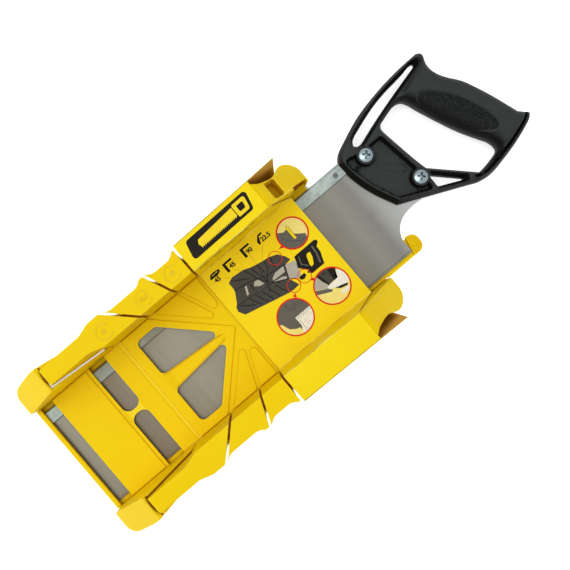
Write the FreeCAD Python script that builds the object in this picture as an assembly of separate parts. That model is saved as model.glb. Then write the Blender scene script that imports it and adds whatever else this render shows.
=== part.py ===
"""Saw-storage mitre box with its back saw, thumb latch and printed card sleeve.

Everything is built about the cutting centre, the point of the bed where all the saw
slots cross: +X towards the saw handle, +Y towards the wall with the pencil hole, +Z up
with z = 0 on the table. At export the whole object is moved along X so that the origin
is the middle of its bounding box, on the table. Millimetres throughout.
"""
import FreeCAD
import Part
import math
import os

V = FreeCAD.Vector

# ---- driving dimensions -------------------------------------------------------------
# heights
BOX_BOTTOM = 0.8            # lower rims of the box walls
BLADE_Z = 15.0              # middle plane of the stored saw
PLATE_UNDER = 18.4          # underside of the bed
CHANNEL_Z = 20.0            # floor of the shallow channels in the bed
BEVEL_GROOVE_Z = 19.3       # floor of the groove where the bevel slot meets the bed
BED_Z = 21.0                # bed that the work lies on
WALL_Z = 74.0               # flat top of the wall flanges

# box, along X
TOE_X = -191.0              # outer end of the toe ears
END_RIM_X = -190.6          # outer face of the end wall
END_WINDOW = (-186.0, -172.8)
SLOT_WINDOW = (-129.7, -111.9)
PANEL_X = -91.6             # where the raised window panel starts
STRUT_Z = 18.8              # top of the strut between the triangular windows
STEP_X = -133.0             # where the plain plate steps down
BED_END_X = 106.0           # handle end of the bed
CREST_X = 83.0              # where the flange starts to slope down
EAR_START_X = 109.6         # where the handle-end ears bulge out
HANDLE_EAR_X = 130.5        # outer end of the handle-end ears
TOE_EAR_Z = 33.0            # height of the toe ears at their outer ends
HANDLE_EAR_Z = 26.5         # height of the handle-end ears at theirs

# box, across Y
WALL_IN = 56.6              # inner faces of the walls
SKIN = 2.2                  # wall skins
TOP_SKIN = 2.6              # flange thickness
SKIN_OUT = 75.6             # outer skin under the flange
VALLEY_Y = 76.2             # flange edge between the slots
TIP_Y = 80.0                # flange edge at the slots
EAR_Y = 81.0                # ears
RECESS_Y = 60.7             # relieved inner face above the bevel slot
VALLEY_RUN = 8.5            # length of the curve from a tip down to the valley

# slots
KERF = 2.0
BEVEL_SUM = -75.0           # x + z on the upper face of the 45 degree bevel slot
BEVEL_GAP = KERF * math.sqrt(2)     # its width along X
BEVEL_SLIT = (58.9, 60.5)   # gap beside the inner skin under the bevel slot
STRIP_GAP = 1.5             # curved gap in front of the strip above the bevel slot
SLOT_ANGLES = (0.0, 22.5, 45.0)     # degrees from square
CHANNEL_HALF = {0.0: 2.1, 22.5: 1.8, 45.0: 2.6}

# pencil hole in the slope of the +Y wall
PENCIL_X, PENCIL_Y, PENCIL_LONG, PENCIL_WIDE = 96.4, 66.6, 16.8, 11.0
PENCIL_FLOOR = 34.0

# saw
BLADE_T = 0.9
TOE_TOOTH_X, HEEL_X = -187.4, 162.4
TOOTH_Y = -53.1
SPINE_Y = (39.6, 52.2)
SPINE_T = 5.0
SPINE_END_X = 168.0
TOOTH_PITCH, TOOTH_DEPTH = 2.3, 1.6
RIVET = (153.3, 45.0, 2.4)
SCREWS = ((184.2, 40.8), (209.4, -5.8))
BOSS_R, HEAD_R, SHANK_R, HOLE_R = 8.6, 6.3, 2.5, 2.6
WEB_HALF, RIM_HALF, GRIP_HALF, BOSS_HALF = 3.4, 9.0, 14.0, 9.6

# latch
ROOT_X, PAD_X, PAD_END_X = 100.0, 163.3, 175.6
TONGUE_Y = (-56.0, -40.0)
PAD_Y = (-57.0, -38.8)
TONGUE_Z = (9.4, 11.8)
PAD_TOP_Z = 14.25
RIDGE_PITCH, RIDGE_H = 2.45, 1.0

# sleeve
CARD = 0.5
SLEEVE_X = (1.2, 109.0)
FLAP_END_X = 81.0
SLEEVE_TOP_Y = (82.7, 84.9)     # outer half width at each end of the flaps
SLEEVE_FOOT_Y = 82.2
SLEEVE_IN_Y = 56.2
FRONT_PANEL_Z = BED_Z + 0.3
FLAP_Z = WALL_Z + 0.3

HANDLE_END_X = 322.4
ORIGIN_X = (TOE_X + HANDLE_END_X) / 2


# ---- small helpers ------------------------------------------------------------------
def rounded(corners, z=0.0):
    """Closed face from (x, y, radius) corners, each corner rounded by its radius."""
    starts, ends, mids = [], [], []
    count = len(corners)
    for i, (x, y, radius) in enumerate(corners):
        here = V(x, y, z)
        back = (V(corners[i - 1][0], corners[i - 1][1], z) - here).normalize()
        ahead = (V(corners[(i + 1) % count][0], corners[(i + 1) % count][1], z) - here).normalize()
        half = back.getAngle(ahead) / 2
        if radius == 0:
            starts.append(here)
            ends.append(here)
            mids.append(None)
            continue
        reach = radius / math.tan(half)
        inward = (back + ahead).normalize()
        centre = here + inward * (radius / math.sin(half))
        starts.append(here + back * reach)
        ends.append(here + ahead * reach)
        mids.append(centre - inward * radius)
    edges = []
    for i in range(count):
        if mids[i] is not None:
            edges.append(Part.Arc(starts[i], mids[i], ends[i]).toShape())
        follow = starts[(i + 1) % count]
        if (follow - ends[i]).Length > 1e-6:
            edges.append(Part.makeLine(ends[i], follow))
    return Part.Face(Part.Wire(edges))


def curved(stretches, z=0.0):
    """Closed face from stretches of points: two points make a line, more make a smooth curve."""
    edges = []
    for points in stretches:
        vectors = [V(x, y, z) for x, y in points]
        if len(vectors) == 2:
            edges.append(Part.makeLine(*vectors))
        else:
            curve = Part.BSplineCurve()
            curve.interpolate(vectors)
            edges.append(curve.toShape())
    return Part.Face(Part.Wire(edges))


def prism(face, z0, z1):
    """Extrude a plan face drawn at z = 0 between two heights."""
    solid = face.extrude(V(0, 0, z1 - z0))
    solid.translate(V(0, 0, z0))
    return solid


def side_prism(corners, y0, y1):
    """Extrude a face drawn as (x, z, radius) corners between two values of y."""
    face = rounded(corners)
    face.rotate(V(0, 0, 0), V(1, 0, 0), 90)
    solid = face.extrude(V(0, y1 - y0, 0))
    solid.translate(V(0, y0, 0))
    return solid


def block(x0, x1, y0, y1, z0, z1):
    return Part.makeBox(x1 - x0, y1 - y0, z1 - z0, V(x0, y0, z0))


def rod(x, y, radius, z0, z1):
    return Part.makeCylinder(radius, z1 - z0, V(x, y, z0))


def soften_top(solid, radius, z):
    """Round every edge that lies in the plane at height z."""
    edges = [e for e in solid.Edges if abs(e.BoundBox.ZMin - z) < 1e-4 and abs(e.BoundBox.ZMax - z) < 1e-4]
    return solid.makeFillet(radius, edges)


def mirrored(solid):
    return solid.mirror(V(0, 0, 0), V(0, 1, 0))


def fuse(first, *others):
    return first.fuse(list(others)).removeSplitter()


# ---- walls --------------------------------------------------------------------------
def valley(xa, xb):
    """Edges of the flange from the tip at xa down to the valley and up to the tip at xb."""
    rise = TIP_Y - VALLEY_Y
    radius = (VALLEY_RUN ** 2 + rise ** 2) / (2 * rise)
    turn = math.asin(VALLEY_RUN / radius) / 2

    def side(tip, way):
        foot = tip + way * VALLEY_RUN
        middle = V(foot - way * radius * math.sin(turn), VALLEY_Y + radius * (1 - math.cos(turn)), 0)
        return V(tip, TIP_Y, 0), middle, V(foot, VALLEY_Y, 0)

    start, mid_a, foot_a = side(xa, 1)
    stop, mid_b, foot_b = side(xb, -1)
    return [Part.Arc(start, mid_a, foot_a).toShape(), Part.makeLine(foot_a, foot_b),
            Part.Arc(foot_b, mid_b, stop).toShape()]


def flange_face():
    """Plan of the flange from the bevel slot to the end of the handle-end ear."""
    tips = [(-91.0, -78.0), (-38.0, -31.2), (-3.2, 3.2), (31.2, 38.0), (78.0, 82.0)]
    start_x = BEVEL_SUM - WALL_Z - 2.0
    ease = [V(-109, VALLEY_Y, 0), V(-103, VALLEY_Y + 0.7, 0), V(-96, TIP_Y - 0.8, 0), V(tips[0][0], TIP_Y, 0)]
    swell = Part.BSplineCurve()
    swell.interpolate(ease)
    edges = [Part.makeLine(V(start_x, WALL_IN, 0), V(start_x, VALLEY_Y, 0)),
             Part.makeLine(V(start_x, VALLEY_Y, 0), ease[0]), swell.toShape()]
    for i, (x0, x1) in enumerate(tips):
        edges.append(Part.makeLine(V(x0, TIP_Y, 0), V(x1, TIP_Y, 0)))
        if i + 1 < len(tips):
            edges.extend(valley(x1, tips[i + 1][0]))
    last = tips[-1][1]
    corner = 16.0
    end = HANDLE_EAR_X
    flank = [V(last, TIP_Y, 0), V(last + 4.5, VALLEY_Y + 1.1, 0), V(last + 10, VALLEY_Y, 0),
             V(EAR_START_X - 6, VALLEY_Y, 0), V(EAR_START_X, EAR_Y - 1.6, 0), V(end - corner, EAR_Y, 0)]
    side = Part.BSplineCurve()
    side.interpolate(flank)
    bend = corner * (1 - math.sqrt(0.5))
    inner = 1.5
    inner_bend = inner * (1 - math.sqrt(0.5))
    edges += [side.toShape(),
              Part.Arc(flank[-1], V(end - bend, EAR_Y - bend, 0), V(end, EAR_Y - corner, 0)).toShape(),
              Part.makeLine(V(end, EAR_Y - corner, 0), V(end, WALL_IN + inner, 0)),
              Part.Arc(V(end, WALL_IN + inner, 0), V(end - inner_bend, WALL_IN + inner_bend, 0),
                       V(end - inner, WALL_IN, 0)).toShape(),
              Part.makeLine(V(end - inner, WALL_IN, 0), V(start_x, WALL_IN, 0))]
    return Part.Face(Part.Wire(edges))


def main_profile(drop, end, low):
    """Side profile of the wall from the bevel slot to the handle end, lowered by drop."""
    return side_prism([(TOE_X - 10, low, 0), (TOE_X - 10, WALL_Z - drop, 0), (CREST_X, WALL_Z - drop, 9),
                       (end, HANDLE_EAR_Z - drop, 7), (end, low, 0)], 40, 100)


def toe_profile(drop, end, low):
    """Side profile of the toe ear, lowered by drop."""
    rise = WALL_Z - TOE_EAR_Z
    return side_prism([(end, low, 0), (end, TOE_EAR_Z - drop, 7), (end + rise, WALL_Z - drop, 3),
                       (0, WALL_Z - drop, 0), (0, low, 0)], 40, 100)


def bevel_half(upper):
    """Half space on one side of the 45 degree bevel slot, above the bed."""
    gap = 0.0 if upper else BEVEL_GAP
    top = WALL_Z + 30
    x_top, x_bed = BEVEL_SUM - gap - top, BEVEL_SUM - gap - BED_Z
    far = 200.0 if upper else -260.0
    return side_prism([(x_top, top, 0), (x_bed, BED_Z, 0), (far, BED_Z, 0), (far, top, 0)], 40, 100)


def kerf_slab(angle):
    """Saw slot through the walls at an angle from square, above the bed."""
    slab = block(-KERF / 2, KERF / 2, -130, 130, BED_Z, WALL_Z + 10)
    slab.rotate(V(0, 0, 0), V(0, 0, 1), angle)
    return slab


def ledge(x0, x1, inner_y, top_z):
    """Shelf under the stored saw, standing off the inner skin."""
    return side_prism([(x0, top_z - 3.0, 0), (x1, top_z - 3.0, 0), (x1, top_z, 0), (x0, top_z, 0)],
                      inner_y, WALL_IN + 0.1)


def wall(spine_side):
    """One hollow wall of the +Y side, with its flange, ears, slots and saw ledges."""
    plan = flange_face()
    top_plate = prism(plan, 0, WALL_Z).common(main_profile(0, HANDLE_EAR_X, 0))
    top_plate = top_plate.cut(main_profile(TOP_SKIN, HANDLE_EAR_X + 5, -5))
    core = block(BEVEL_SUM - WALL_Z, EAR_START_X + 2, WALL_IN, SKIN_OUT, BOX_BOTTOM, WALL_Z)
    ear_zone = prism(plan, BOX_BOTTOM, WALL_Z).common(block(EAR_START_X, 140, 50, 90, 0, 80))
    body = fuse(core, ear_zone).common(main_profile(0, HANDLE_EAR_X, BOX_BOTTOM))
    body = fuse(body, top_plate)
    # keep only what is right of the bevel slot, and relieve the inner face there
    body = body.common(fuse(bevel_half(True), block(BEVEL_SUM - BED_Z, 200, 40, 100, 0, BED_Z)))
    relief = curved([[(-153, 50), (-153, RECESS_Y)], [(-153, RECESS_Y), (-112, RECESS_Y)],
                     [(-112, RECESS_Y), (-106, RECESS_Y - 0.5), (-99.5, RECESS_Y - 2.4), (-94.5, WALL_IN),
                      (-92, 54)],
                     [(-92, 54), (-92, 50)], [(-92, 50), (-153, 50)]])
    body = body.cut(prism(relief, BED_Z, WALL_Z + 1))
    void = rounded([(-147, RECESS_Y + SKIN, 0), (-110, RECESS_Y + SKIN, 0), (-96, WALL_IN + SKIN, 0),
                    (EAR_START_X + SKIN, WALL_IN + SKIN, 0), (EAR_START_X + SKIN, SKIN_OUT - SKIN, 0),
                    (-147, SKIN_OUT - SKIN, 0)])
    ear_void = rounded([(EAR_START_X + SKIN - 0.5, WALL_IN + SKIN, 0), (HANDLE_EAR_X - SKIN, WALL_IN + SKIN, 3),
                        (HANDLE_EAR_X - SKIN, EAR_Y - SKIN, 13), (EAR_START_X + SKIN - 0.5, EAR_Y - SKIN, 1)])
    hollow = fuse(prism(void, -1, WALL_Z), prism(ear_void, -1, WALL_Z))
    body = body.cut(hollow.common(main_profile(TOP_SKIN, HANDLE_EAR_X - SKIN, -2)))
    # toe ear, left of the bevel slot
    ear_plan = rounded([(TOE_X, WALL_IN, 3), (TOE_X, EAR_Y, 12.5), (-160, EAR_Y, 60), (-150, TIP_Y, 20),
                        (-104, SKIN_OUT + 1.2, 0), (-94, SKIN_OUT, 0), (-94, WALL_IN, 0)])
    ear_inner = rounded([(TOE_X + SKIN, WALL_IN + SKIN, 2), (TOE_X + SKIN, EAR_Y - SKIN, 10.3),
                         (-158, EAR_Y - SKIN, 0), (-150, TIP_Y - SKIN, 0), (-104, SKIN_OUT - 0.6, 0),
                         (-92, SKIN_OUT - SKIN, 0), (-92, WALL_IN + SKIN, 0)])
    toe = prism(ear_plan, BOX_BOTTOM, WALL_Z).common(toe_profile(0, TOE_X, BOX_BOTTOM))
    toe = toe.cut(prism(ear_inner, -1, WALL_Z).common(toe_profile(TOP_SKIN, TOE_X + SKIN, -2)))
    toe = toe.common(fuse(bevel_half(False), block(-260, BEVEL_SUM - BED_Z, 40, 100, 0, BED_Z)))
    # a sloping web closes the hollow under the bevel slot, with a slit beside the inner skin
    foot_x, head_x = BEVEL_SUM - BEVEL_GAP - BED_Z, BEVEL_SUM - BEVEL_GAP - WALL_Z
    web = side_prism([(foot_x - 3, BED_Z, 0), (foot_x, BED_Z, 0), (head_x, WALL_Z, 0), (head_x - 3, WALL_Z, 0)],
                     40, 100)
    web = web.common(prism(ear_plan, BOX_BOTTOM, WALL_Z)).common(toe_profile(0, TOE_X, BOX_BOTTOM))
    web = web.cut(block(head_x + 2, -101, *BEVEL_SLIT, BED_Z + 4, WALL_Z + 1))
    body = fuse(body, toe, web)
    # the strip above the bevel slot starts with a ramp and a rounded end, behind a curved gap
    strip_x = BEVEL_SUM - WALL_Z
    ramp = side_prism([(strip_x - 0.1, WALL_Z - 1.3, 0), (strip_x + 6.4, WALL_Z, 0), (strip_x + 6.4, WALL_Z + 4, 0),
                       (strip_x - 0.1, WALL_Z + 4, 0)], 50, 90)
    body = body.cut(ramp)
    strip_edge = [(strip_x + 2.6, 81.5), (strip_x + 1.6, 76.0), (strip_x + 0.5, 70.5), (strip_x + 0.4, 65.0),
                  (strip_x + 1.2, 58.0)]
    gap_edge = [(x - STRIP_GAP, y) for x, y in reversed(strip_edge)]
    gap_face = curved([gap_edge, [gap_edge[-1], strip_edge[0]], strip_edge, [strip_edge[-1], gap_edge[0]]])
    body = body.cut(prism(gap_face, WALL_Z - 8, WALL_Z + 1))
    for angle in SLOT_ANGLES:
        for sign in (-1, 1):
            body = body.cut(kerf_slab(sign * angle))
    if spine_side:
        shelf_y, shelf_z, mouth = WALL_IN - 9.0, BLADE_Z - SPINE_T / 2 - 0.4, (96.0, 127.0)
    else:
        shelf_y, shelf_z, mouth = WALL_IN - 9.0, BLADE_Z - BLADE_T / 2 - 0.4, (84.0, ROOT_X - 0.6)
    spans = [(-187.5, END_WINDOW[1]), SLOT_WINDOW, mouth]
    body = fuse(body, *[ledge(x0, x1, shelf_y, shelf_z) for x0, x1 in spans])
    if spine_side:
        # the ear is open towards the saw, under its sloping skin
        open_end = HANDLE_EAR_X - 2.5
        mouth_zone = block(EAR_START_X + 1.5, open_end, WALL_IN - 1, WALL_IN + SKIN + 0.6, shelf_z + 0.8, WALL_Z)
        body = body.cut(mouth_zone.common(main_profile(TOP_SKIN, HANDLE_EAR_X + 5, 0)))
        half_x, half_y = PENCIL_WIDE / 2, PENCIL_LONG / 2
        corners = [(-half_x, -half_y), (half_x, -half_y), (half_x, half_y), (-half_x, half_y)]
        hole = rounded([(PENCIL_X + x, PENCIL_Y + y, 2.5) for x, y in corners])
        pocket = block(PENCIL_X - PENCIL_WIDE / 2 - 1.5, PENCIL_X + PENCIL_WIDE / 2 + 1.5, WALL_IN + 0.5,
                       SKIN_OUT - 0.5, PENCIL_FLOOR - 1.5, WALL_Z).common(main_profile(1, HANDLE_EAR_X, 0))
        body = fuse(body, pocket).cut(prism(hole, PENCIL_FLOOR, WALL_Z))
    else:
        lip_face = rounded([(EAR_START_X - 0.1, WALL_IN + 0.5, 0), (EAR_START_X - 0.1, WALL_IN - 0.8, 0),
                            (HANDLE_EAR_X - 4.0, WALL_IN - 1.8, 0), (HANDLE_EAR_X - 1.2, WALL_IN + 1.5, 0)])
        lip = prism(lip_face, 0, WALL_Z)
        lip = lip.common(main_profile(0, HANDLE_EAR_X, 0)).cut(main_profile(TOP_SKIN, HANDLE_EAR_X + 5, -5))
        body = fuse(body, lip)
    return body


# ---- bed and end wall ---------------------------------------------------------------
def petal(low, high, tip_radius, sign_x):
    """Raised wedge of the bed between two cut lines, with a rounded tip near the centre."""
    def line(angle, side):
        """Point and direction of the edge beside a cut line, all in the +X, +Y quarter."""
        a = math.radians(angle)
        along = V(math.sin(a), math.cos(a), 0)
        across = V(math.cos(a), -math.sin(a), 0)
        return across * (side * CHANNEL_HALF[angle]), along

    p, d = line(low, 1)
    q, e = line(high, -1)
    cross = d.x * e.y - d.y * e.x
    t = ((q.x - p.x) * e.y - (q.y - p.y) * e.x) / cross
    apex = p + d * t
    reach = WALL_IN - 0.2
    a_end = p + d * ((reach - p.y) / d.y)
    b_end = q + e * ((reach - q.y) / e.y)
    face = rounded([(sign_x * apex.x, apex.y, tip_radius), (sign_x * a_end.x, reach, 0),
                    (sign_x * b_end.x, reach, 0)])
    return soften_top(prism(face, CHANNEL_Z - 0.2, BED_Z), 0.9, BED_Z)


def window_panel(sign_x, far_x):
    """Raised panel beyond the 45 degree cut lines."""
    edge = CHANNEL_HALF[45.0] * math.sqrt(2)
    reach = WALL_IN - 0.2
    face = rounded([(sign_x * edge, 0, 1.5), (sign_x * (reach + edge), reach, 0), (sign_x * far_x, reach, 0),
                    (sign_x * far_x, -reach, 0), (sign_x * (reach + edge), -reach, 0)])
    return soften_top(prism(face, CHANNEL_Z - 0.2, BED_Z), 0.9, BED_Z)


def base_plate():
    reach = WALL_IN - 0.05
    plate = block(END_WINDOW[1], BED_END_X, -reach, reach, PLATE_UNDER, CHANNEL_Z)
    plain = block(END_WINDOW[1], STEP_X, -reach + 0.1, reach - 0.1, CHANNEL_Z - 0.2, BED_Z)
    plain = soften_top(plain, 0.7, BED_Z)
    raised = [plain, window_panel(-1, -PANEL_X), window_panel(1, BED_END_X)]
    for sign_x in (-1, 1):
        for low, high, radius in ((0.0, 22.5, 3.6), (22.5, 45.0, 3.0)):
            wedge = petal(low, high, radius, sign_x)
            raised += [wedge, mirrored(wedge)]
    plate = fuse(plate, *raised)
    # the strut between the two windows dips below the panel, with a ramp at each end
    strut_face = rounded([(-90, -9.3, 2), (-20, -3.6, 1), (-12, 0, 2), (-20, 3.6, 1), (-90, 9.3, 2)])
    strut = prism(strut_face, 0, BED_Z + 1)
    keel = side_prism([(-87, PLATE_UNDER + 0.8, 0), (-78, STRUT_Z - 2.2, 4), (-19.5, STRUT_Z - 2.2, 4),
                       (-13, PLATE_UNDER + 0.8, 0)], -20, 20)
    dip = side_prism([(-84.0, BED_Z + 0.4, 0), (-75.5, STRUT_Z, 5), (-20.2, STRUT_Z, 2.5),
                      (-15.0, BED_Z + 0.4, 0)], -20, 20)
    plate = fuse(plate, strut.common(keel)).cut(strut.common(dip))
    # so does the strut between the two slot windows
    slot_start, slot_end = SLOT_WINDOW
    plate = plate.cut(side_prism([(slot_start - 2.2, CHANNEL_Z + 0.3, 0), (slot_start + 2.0, CHANNEL_Z - 0.8, 2),
                                  (slot_end - 2.0, CHANNEL_Z - 0.8, 2), (slot_end + 1.6, CHANNEL_Z + 0.3, 0)], -8, 8))
    groove = side_prism([(PANEL_X - 4.6, CHANNEL_Z + 0.3, 0), (PANEL_X - 3.0, BEVEL_GROOVE_Z, 1.0),
                         (PANEL_X + 0.4, BEVEL_GROOVE_Z, 1.0), (PANEL_X + 0.4, CHANNEL_Z + 0.3, 0)],
                        -reach + 0.1, reach - 0.1)
    plate = plate.cut(groove)
    triangle = prism(rounded([(-81.9, 8.8, 5.0), (-16.2, 3.4, 3.6), (-59.1, 46.5, 5.0), (-81.9, 46.5, 5.5)]), 0, 40)
    slot = prism(rounded([(slot_start, 2.4, 7.5), (slot_end, 2.4, 7.5), (slot_end, 60, 0), (slot_start, 60, 0)]), 0, 40)
    for window in (triangle, slot):
        plate = plate.cut(window).cut(mirrored(window))
    return plate


def end_wall():
    reach = WALL_IN - 0.05
    rim = side_prism([(END_RIM_X, BOX_BOTTOM, 0), (END_RIM_X, BED_Z, 1.6), (END_WINDOW[0], BED_Z, 0.8),
                      (END_WINDOW[0], PLATE_UNDER, 0), (END_RIM_X + SKIN, PLATE_UNDER, 0),
                      (END_RIM_X + SKIN, BOX_BOTTOM, 0)], -reach, reach)
    return rim


# ---- saw ----------------------------------------------------------------------------
def blade():
    """Steel plate with pointed teeth, a swept heel and a tang inside the handle."""
    gullet = TOOTH_Y + TOOTH_DEPTH
    tooth_line = [(HEEL_X, TOOTH_Y)]
    count = int((HEEL_X - TOE_TOOTH_X) / TOOTH_PITCH)
    for i in range(count):
        x = HEEL_X - i * TOOTH_PITCH
        tooth_line += [(x - TOOTH_PITCH * 0.35, gullet), (x - TOOTH_PITCH, TOOTH_Y)]
    edges = [Part.makeLine(V(*a, 0), V(*b, 0)) for a, b in zip(tooth_line, tooth_line[1:])]
    last = tooth_line[-1]
    top = SPINE_Y[1] - 1.2
    heel_sweep = [(HEEL_X, -39.5), (163.8, -35.0), (167.5, -29.2), (174.5, -24.0), (186, -21.2), (198, -21.5)]
    tang = [(198, -21.5), (206, -21.8), (213, -16), (213.5, 10), (209, 40), (SPINE_END_X + 30, 45),
            (SPINE_END_X, top)]
    toe = [last, (TOE_TOOTH_X, TOOTH_Y + 3), (TOE_TOOTH_X, top - 6), (TOE_TOOTH_X + 4, top)]
    outline = toe + [(SPINE_END_X, top)]
    edges += [Part.makeLine(V(*a, 0), V(*b, 0)) for a, b in zip(outline, outline[1:])]
    edges += [Part.makeLine(V(*a, 0), V(*b, 0)) for a, b in zip(tang[::-1], tang[::-1][1:])]
    sweep = Part.BSplineCurve()
    sweep.interpolate([V(x, y, 0) for x, y in heel_sweep])
    edges += [sweep.toShape(), Part.makeLine(V(*heel_sweep[0], 0), V(*tooth_line[0], 0))]
    face = Part.Face(Part.Wire(Part.__sortEdges__(edges)))
    plate = prism(face, BLADE_Z - BLADE_T / 2, BLADE_Z + BLADE_T / 2)
    for x, y, radius in [(RIVET[0], RIVET[1], RIVET[2] - 0.55)] + [(x, y, HOLE_R) for x, y in SCREWS]:
        plate = plate.cut(rod(x, y, radius, 0, 40))
    return plate


def spine():
    """Folded steel back: a round-edged channel over the top edge of the blade."""
    half = SPINE_T / 2
    section = rounded([(SPINE_Y[0], BLADE_Z - half, 0.7), (SPINE_Y[1], BLADE_Z - half, 2.2),
                       (SPINE_Y[1], BLADE_Z + half, 2.2), (SPINE_Y[0], BLADE_Z + half, 0.7)])
    section.rotate(V(0, 0, 0), V(1, 0, 0), 90)
    section.rotate(V(0, 0, 0), V(0, 0, 1), 90)
    back = section.extrude(V(SPINE_END_X - TOE_TOOTH_X - 1, 0, 0))
    back.translate(V(TOE_TOOTH_X + 1, 0, 0))
    gap = BLADE_T / 2 + 0.05
    back = back.cut(block(-200, 200, 0, SPINE_Y[1] - 1.1, BLADE_Z - gap, BLADE_Z + gap))
    return back.cut(rod(RIVET[0], RIVET[1], RIVET[2] - 0.55, 0, 40))


def spine_rivet():
    half = SPINE_T / 2
    shank = rod(RIVET[0], RIVET[1], RIVET[2] - 0.6, BLADE_Z - half, BLADE_Z + half)
    heads = [rod(RIVET[0], RIVET[1], RIVET[2], BLADE_Z + half, BLADE_Z + half + 0.5),
             rod(RIVET[0], RIVET[1], RIVET[2], BLADE_Z - half - 0.35, BLADE_Z - half)]
    return fuse(shank, *heads)


def handle_face():
    """Plan of the pistol handle with its finger hole, long slot and corner opening."""
    front = [(161.6, 50.5), (161.8, 42), (163, 31.5), (166, 19), (171, 5.3), (175.5, -4.2), (178.8, -11.2)]
    guard = [(178.8, -11.2), (241.6, -40.0)]
    toe = [(241.6, -40.0), (249, -43.3), (259, -44.9), (275, -42.8), (295, -38.2), (313, -32.2), (320.6, -28),
           (HANDLE_END_X, -25), (320.6, -21.8), (315.2, -16.3)]
    back = [(315.2, -16.3), (309.9, 0), (304.6, 14.7), (299.4, 27.3), (294.1, 37.8), (288.9, 44.6),
            (284.7, 50.6), (281.2, 58), (280.0, 65.1), (281, 70.4), (283.0, 74.6), (283.2, 79), (279.4, 81.9)]
    bridge = [(279.4, 81.9), (262.6, 81.5), (241.6, 79.8), (220.6, 76.5), (199.6, 71.4), (178.6, 63.2), (166, 56.3),
              (161.6, 50.5)]
    face = curved([front, guard, toe, back, bridge])
    finger = curved([[(220, -2.6), (218.5, 4.2), (214.3, 29.4), (211.6, 47)],
                     [(211.6, 47), (211.9, 50.6), (214.8, 53.9)], [(214.8, 53.9), (231, 58.5)],
                     [(231, 58.5), (235.6, 58.9), (240.6, 57.8), (243.9, 55.3), (246.2, 51.3)],
                     [(246.2, 51.3), (252, 34.9), (261.6, 11.8), (272, -8.4), (279.4, -20.8)],
                     [(279.4, -20.8), (281, -26.3), (280.6, -31), (277.6, -33.4)],
                     [(277.6, -33.4), (262.6, -36.6), (256.2, -37.2)], [(256.2, -37.2), (254, -36.6), (252, -34.7)],
                     [(252, -34.7), (220, -2.6)]])
    slot = curved([[(182.8, 54.6), (184.2, 57.3), (187.6, 60), (194.3, 62.6), (215.4, 69.3), (241.6, 74.2),
                    (264.7, 77.0), (270.8, 77.4), (273.2, 76.2), (271.4, 74.4)],
                   [(271.4, 74.4), (236.4, 65.7), (210, 58.3), (193.3, 52.9)],
                   [(193.3, 52.9), (189, 51.8), (184.9, 52.3), (182.8, 54.6)]])
    corner = rounded([(217.6, -8.8, 1.2), (243.0, -34.6, 0.8), (217.4, -22.4, 2.0)])
    return face.cut(finger).cut(slot).cut(corner)


def handle():
    face = handle_face().Faces[0]
    rim = prism(face, BLADE_Z - RIM_HALF, BLADE_Z + RIM_HALF)
    grip_zone = rounded([(240, 60, 4), (262, 70, 4), (280, 76, 4), (290, 62, 4), (325, -14, 4), (312, -28, 6),
                         (284, -34, 6), (283, -24, 4), (262, 8, 20), (248, 42, 20)])
    grip = prism(face, BLADE_Z - GRIP_HALF, BLADE_Z + GRIP_HALF).common(
        prism(grip_zone, BLADE_Z - GRIP_HALF, BLADE_Z + GRIP_HALF))
    body = fuse(rim, grip)
    # the front panel is thinner inside its rim
    panel = rounded([(166, 50, 4), (166.5, 40, 20), (172, 16, 20), (182.5, -8, 3), (212, -22, 3), (212.5, 0, 20),
                     (206, 46, 3), (182, 46, 6)])
    for z0, z1 in ((BLADE_Z + WEB_HALF, BLADE_Z + 20), (BLADE_Z - 20, BLADE_Z - WEB_HALF)):
        body = body.cut(prism(panel, z0, z1))
    bosses = [rod(x, y, BOSS_R, BLADE_Z - BOSS_HALF, BLADE_Z + BOSS_HALF) for x, y in SCREWS]
    body = fuse(body, *bosses)
    gap = BLADE_T / 2 + 0.1
    tang = rounded([(150, -21.0, 0), (206.2, -22.5, 0), (214, -16.2, 0), (214.2, 10, 0), (209.6, 40.4, 0),
                    (SPINE_END_X + 30, 45.6, 0), (SPINE_END_X, 52.4, 0), (150, 52.4, 0)])
    body = body.cut(prism(tang, BLADE_Z - gap, BLADE_Z + gap))
    half = SPINE_T / 2 + 0.1
    spine_end = block(150, SPINE_END_X + 0.3, SPINE_Y[0] - 0.2, SPINE_Y[1] + 0.2, BLADE_Z - half, BLADE_Z + half)
    body = body.cut(spine_end)
    for x, y in SCREWS:
        body = body.cut(rod(x, y, HOLE_R, -10, 40))
        body = body.cut(rod(x, y, HEAD_R + 0.15, BLADE_Z + BOSS_HALF - 1.6, 40))
        body = body.cut(rod(x, y, HEAD_R + 0.15, -10, BLADE_Z - BOSS_HALF + 1.6))
    return body


def handle_screw(x, y):
    """Pan-head screw with a cross recess."""
    seat = BLADE_Z + BOSS_HALF - 1.6
    dome_r = 12.0
    head = rod(x, y, HEAD_R, seat, seat + 3.2)
    dome = Part.makeSphere(dome_r, V(x, y, seat + 3.2 - dome_r))
    head = head.common(dome)
    screw = fuse(head, rod(x, y, SHANK_R, BLADE_Z - BOSS_HALF + 3.0, seat))
    for turn in (45, 135):
        arm = block(-3.7, 3.7, -0.85, 0.85, seat + 1.3, seat + 5)
        arm.rotate(V(0, 0, 0), V(0, 0, 1), turn)
        arm.translate(V(x, y, 0))
        screw = screw.cut(arm)
    screw = screw.cut(rod(x, y, 1.9, seat + 0.6, seat + 5))
    return screw


def handle_nut(x, y):
    """Slotted barrel nut on the far face of the handle."""
    seat = BLADE_Z - BOSS_HALF + 1.6
    nut = rod(x, y, HEAD_R, seat - 2.4, seat)
    nut = nut.cut(rod(x, y, SHANK_R + 0.03, seat - 1.2, seat + 5))
    return nut.cut(block(x - 10, x + 10, y - 0.6, y + 0.6, seat - 3, seat - 1.6))


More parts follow.
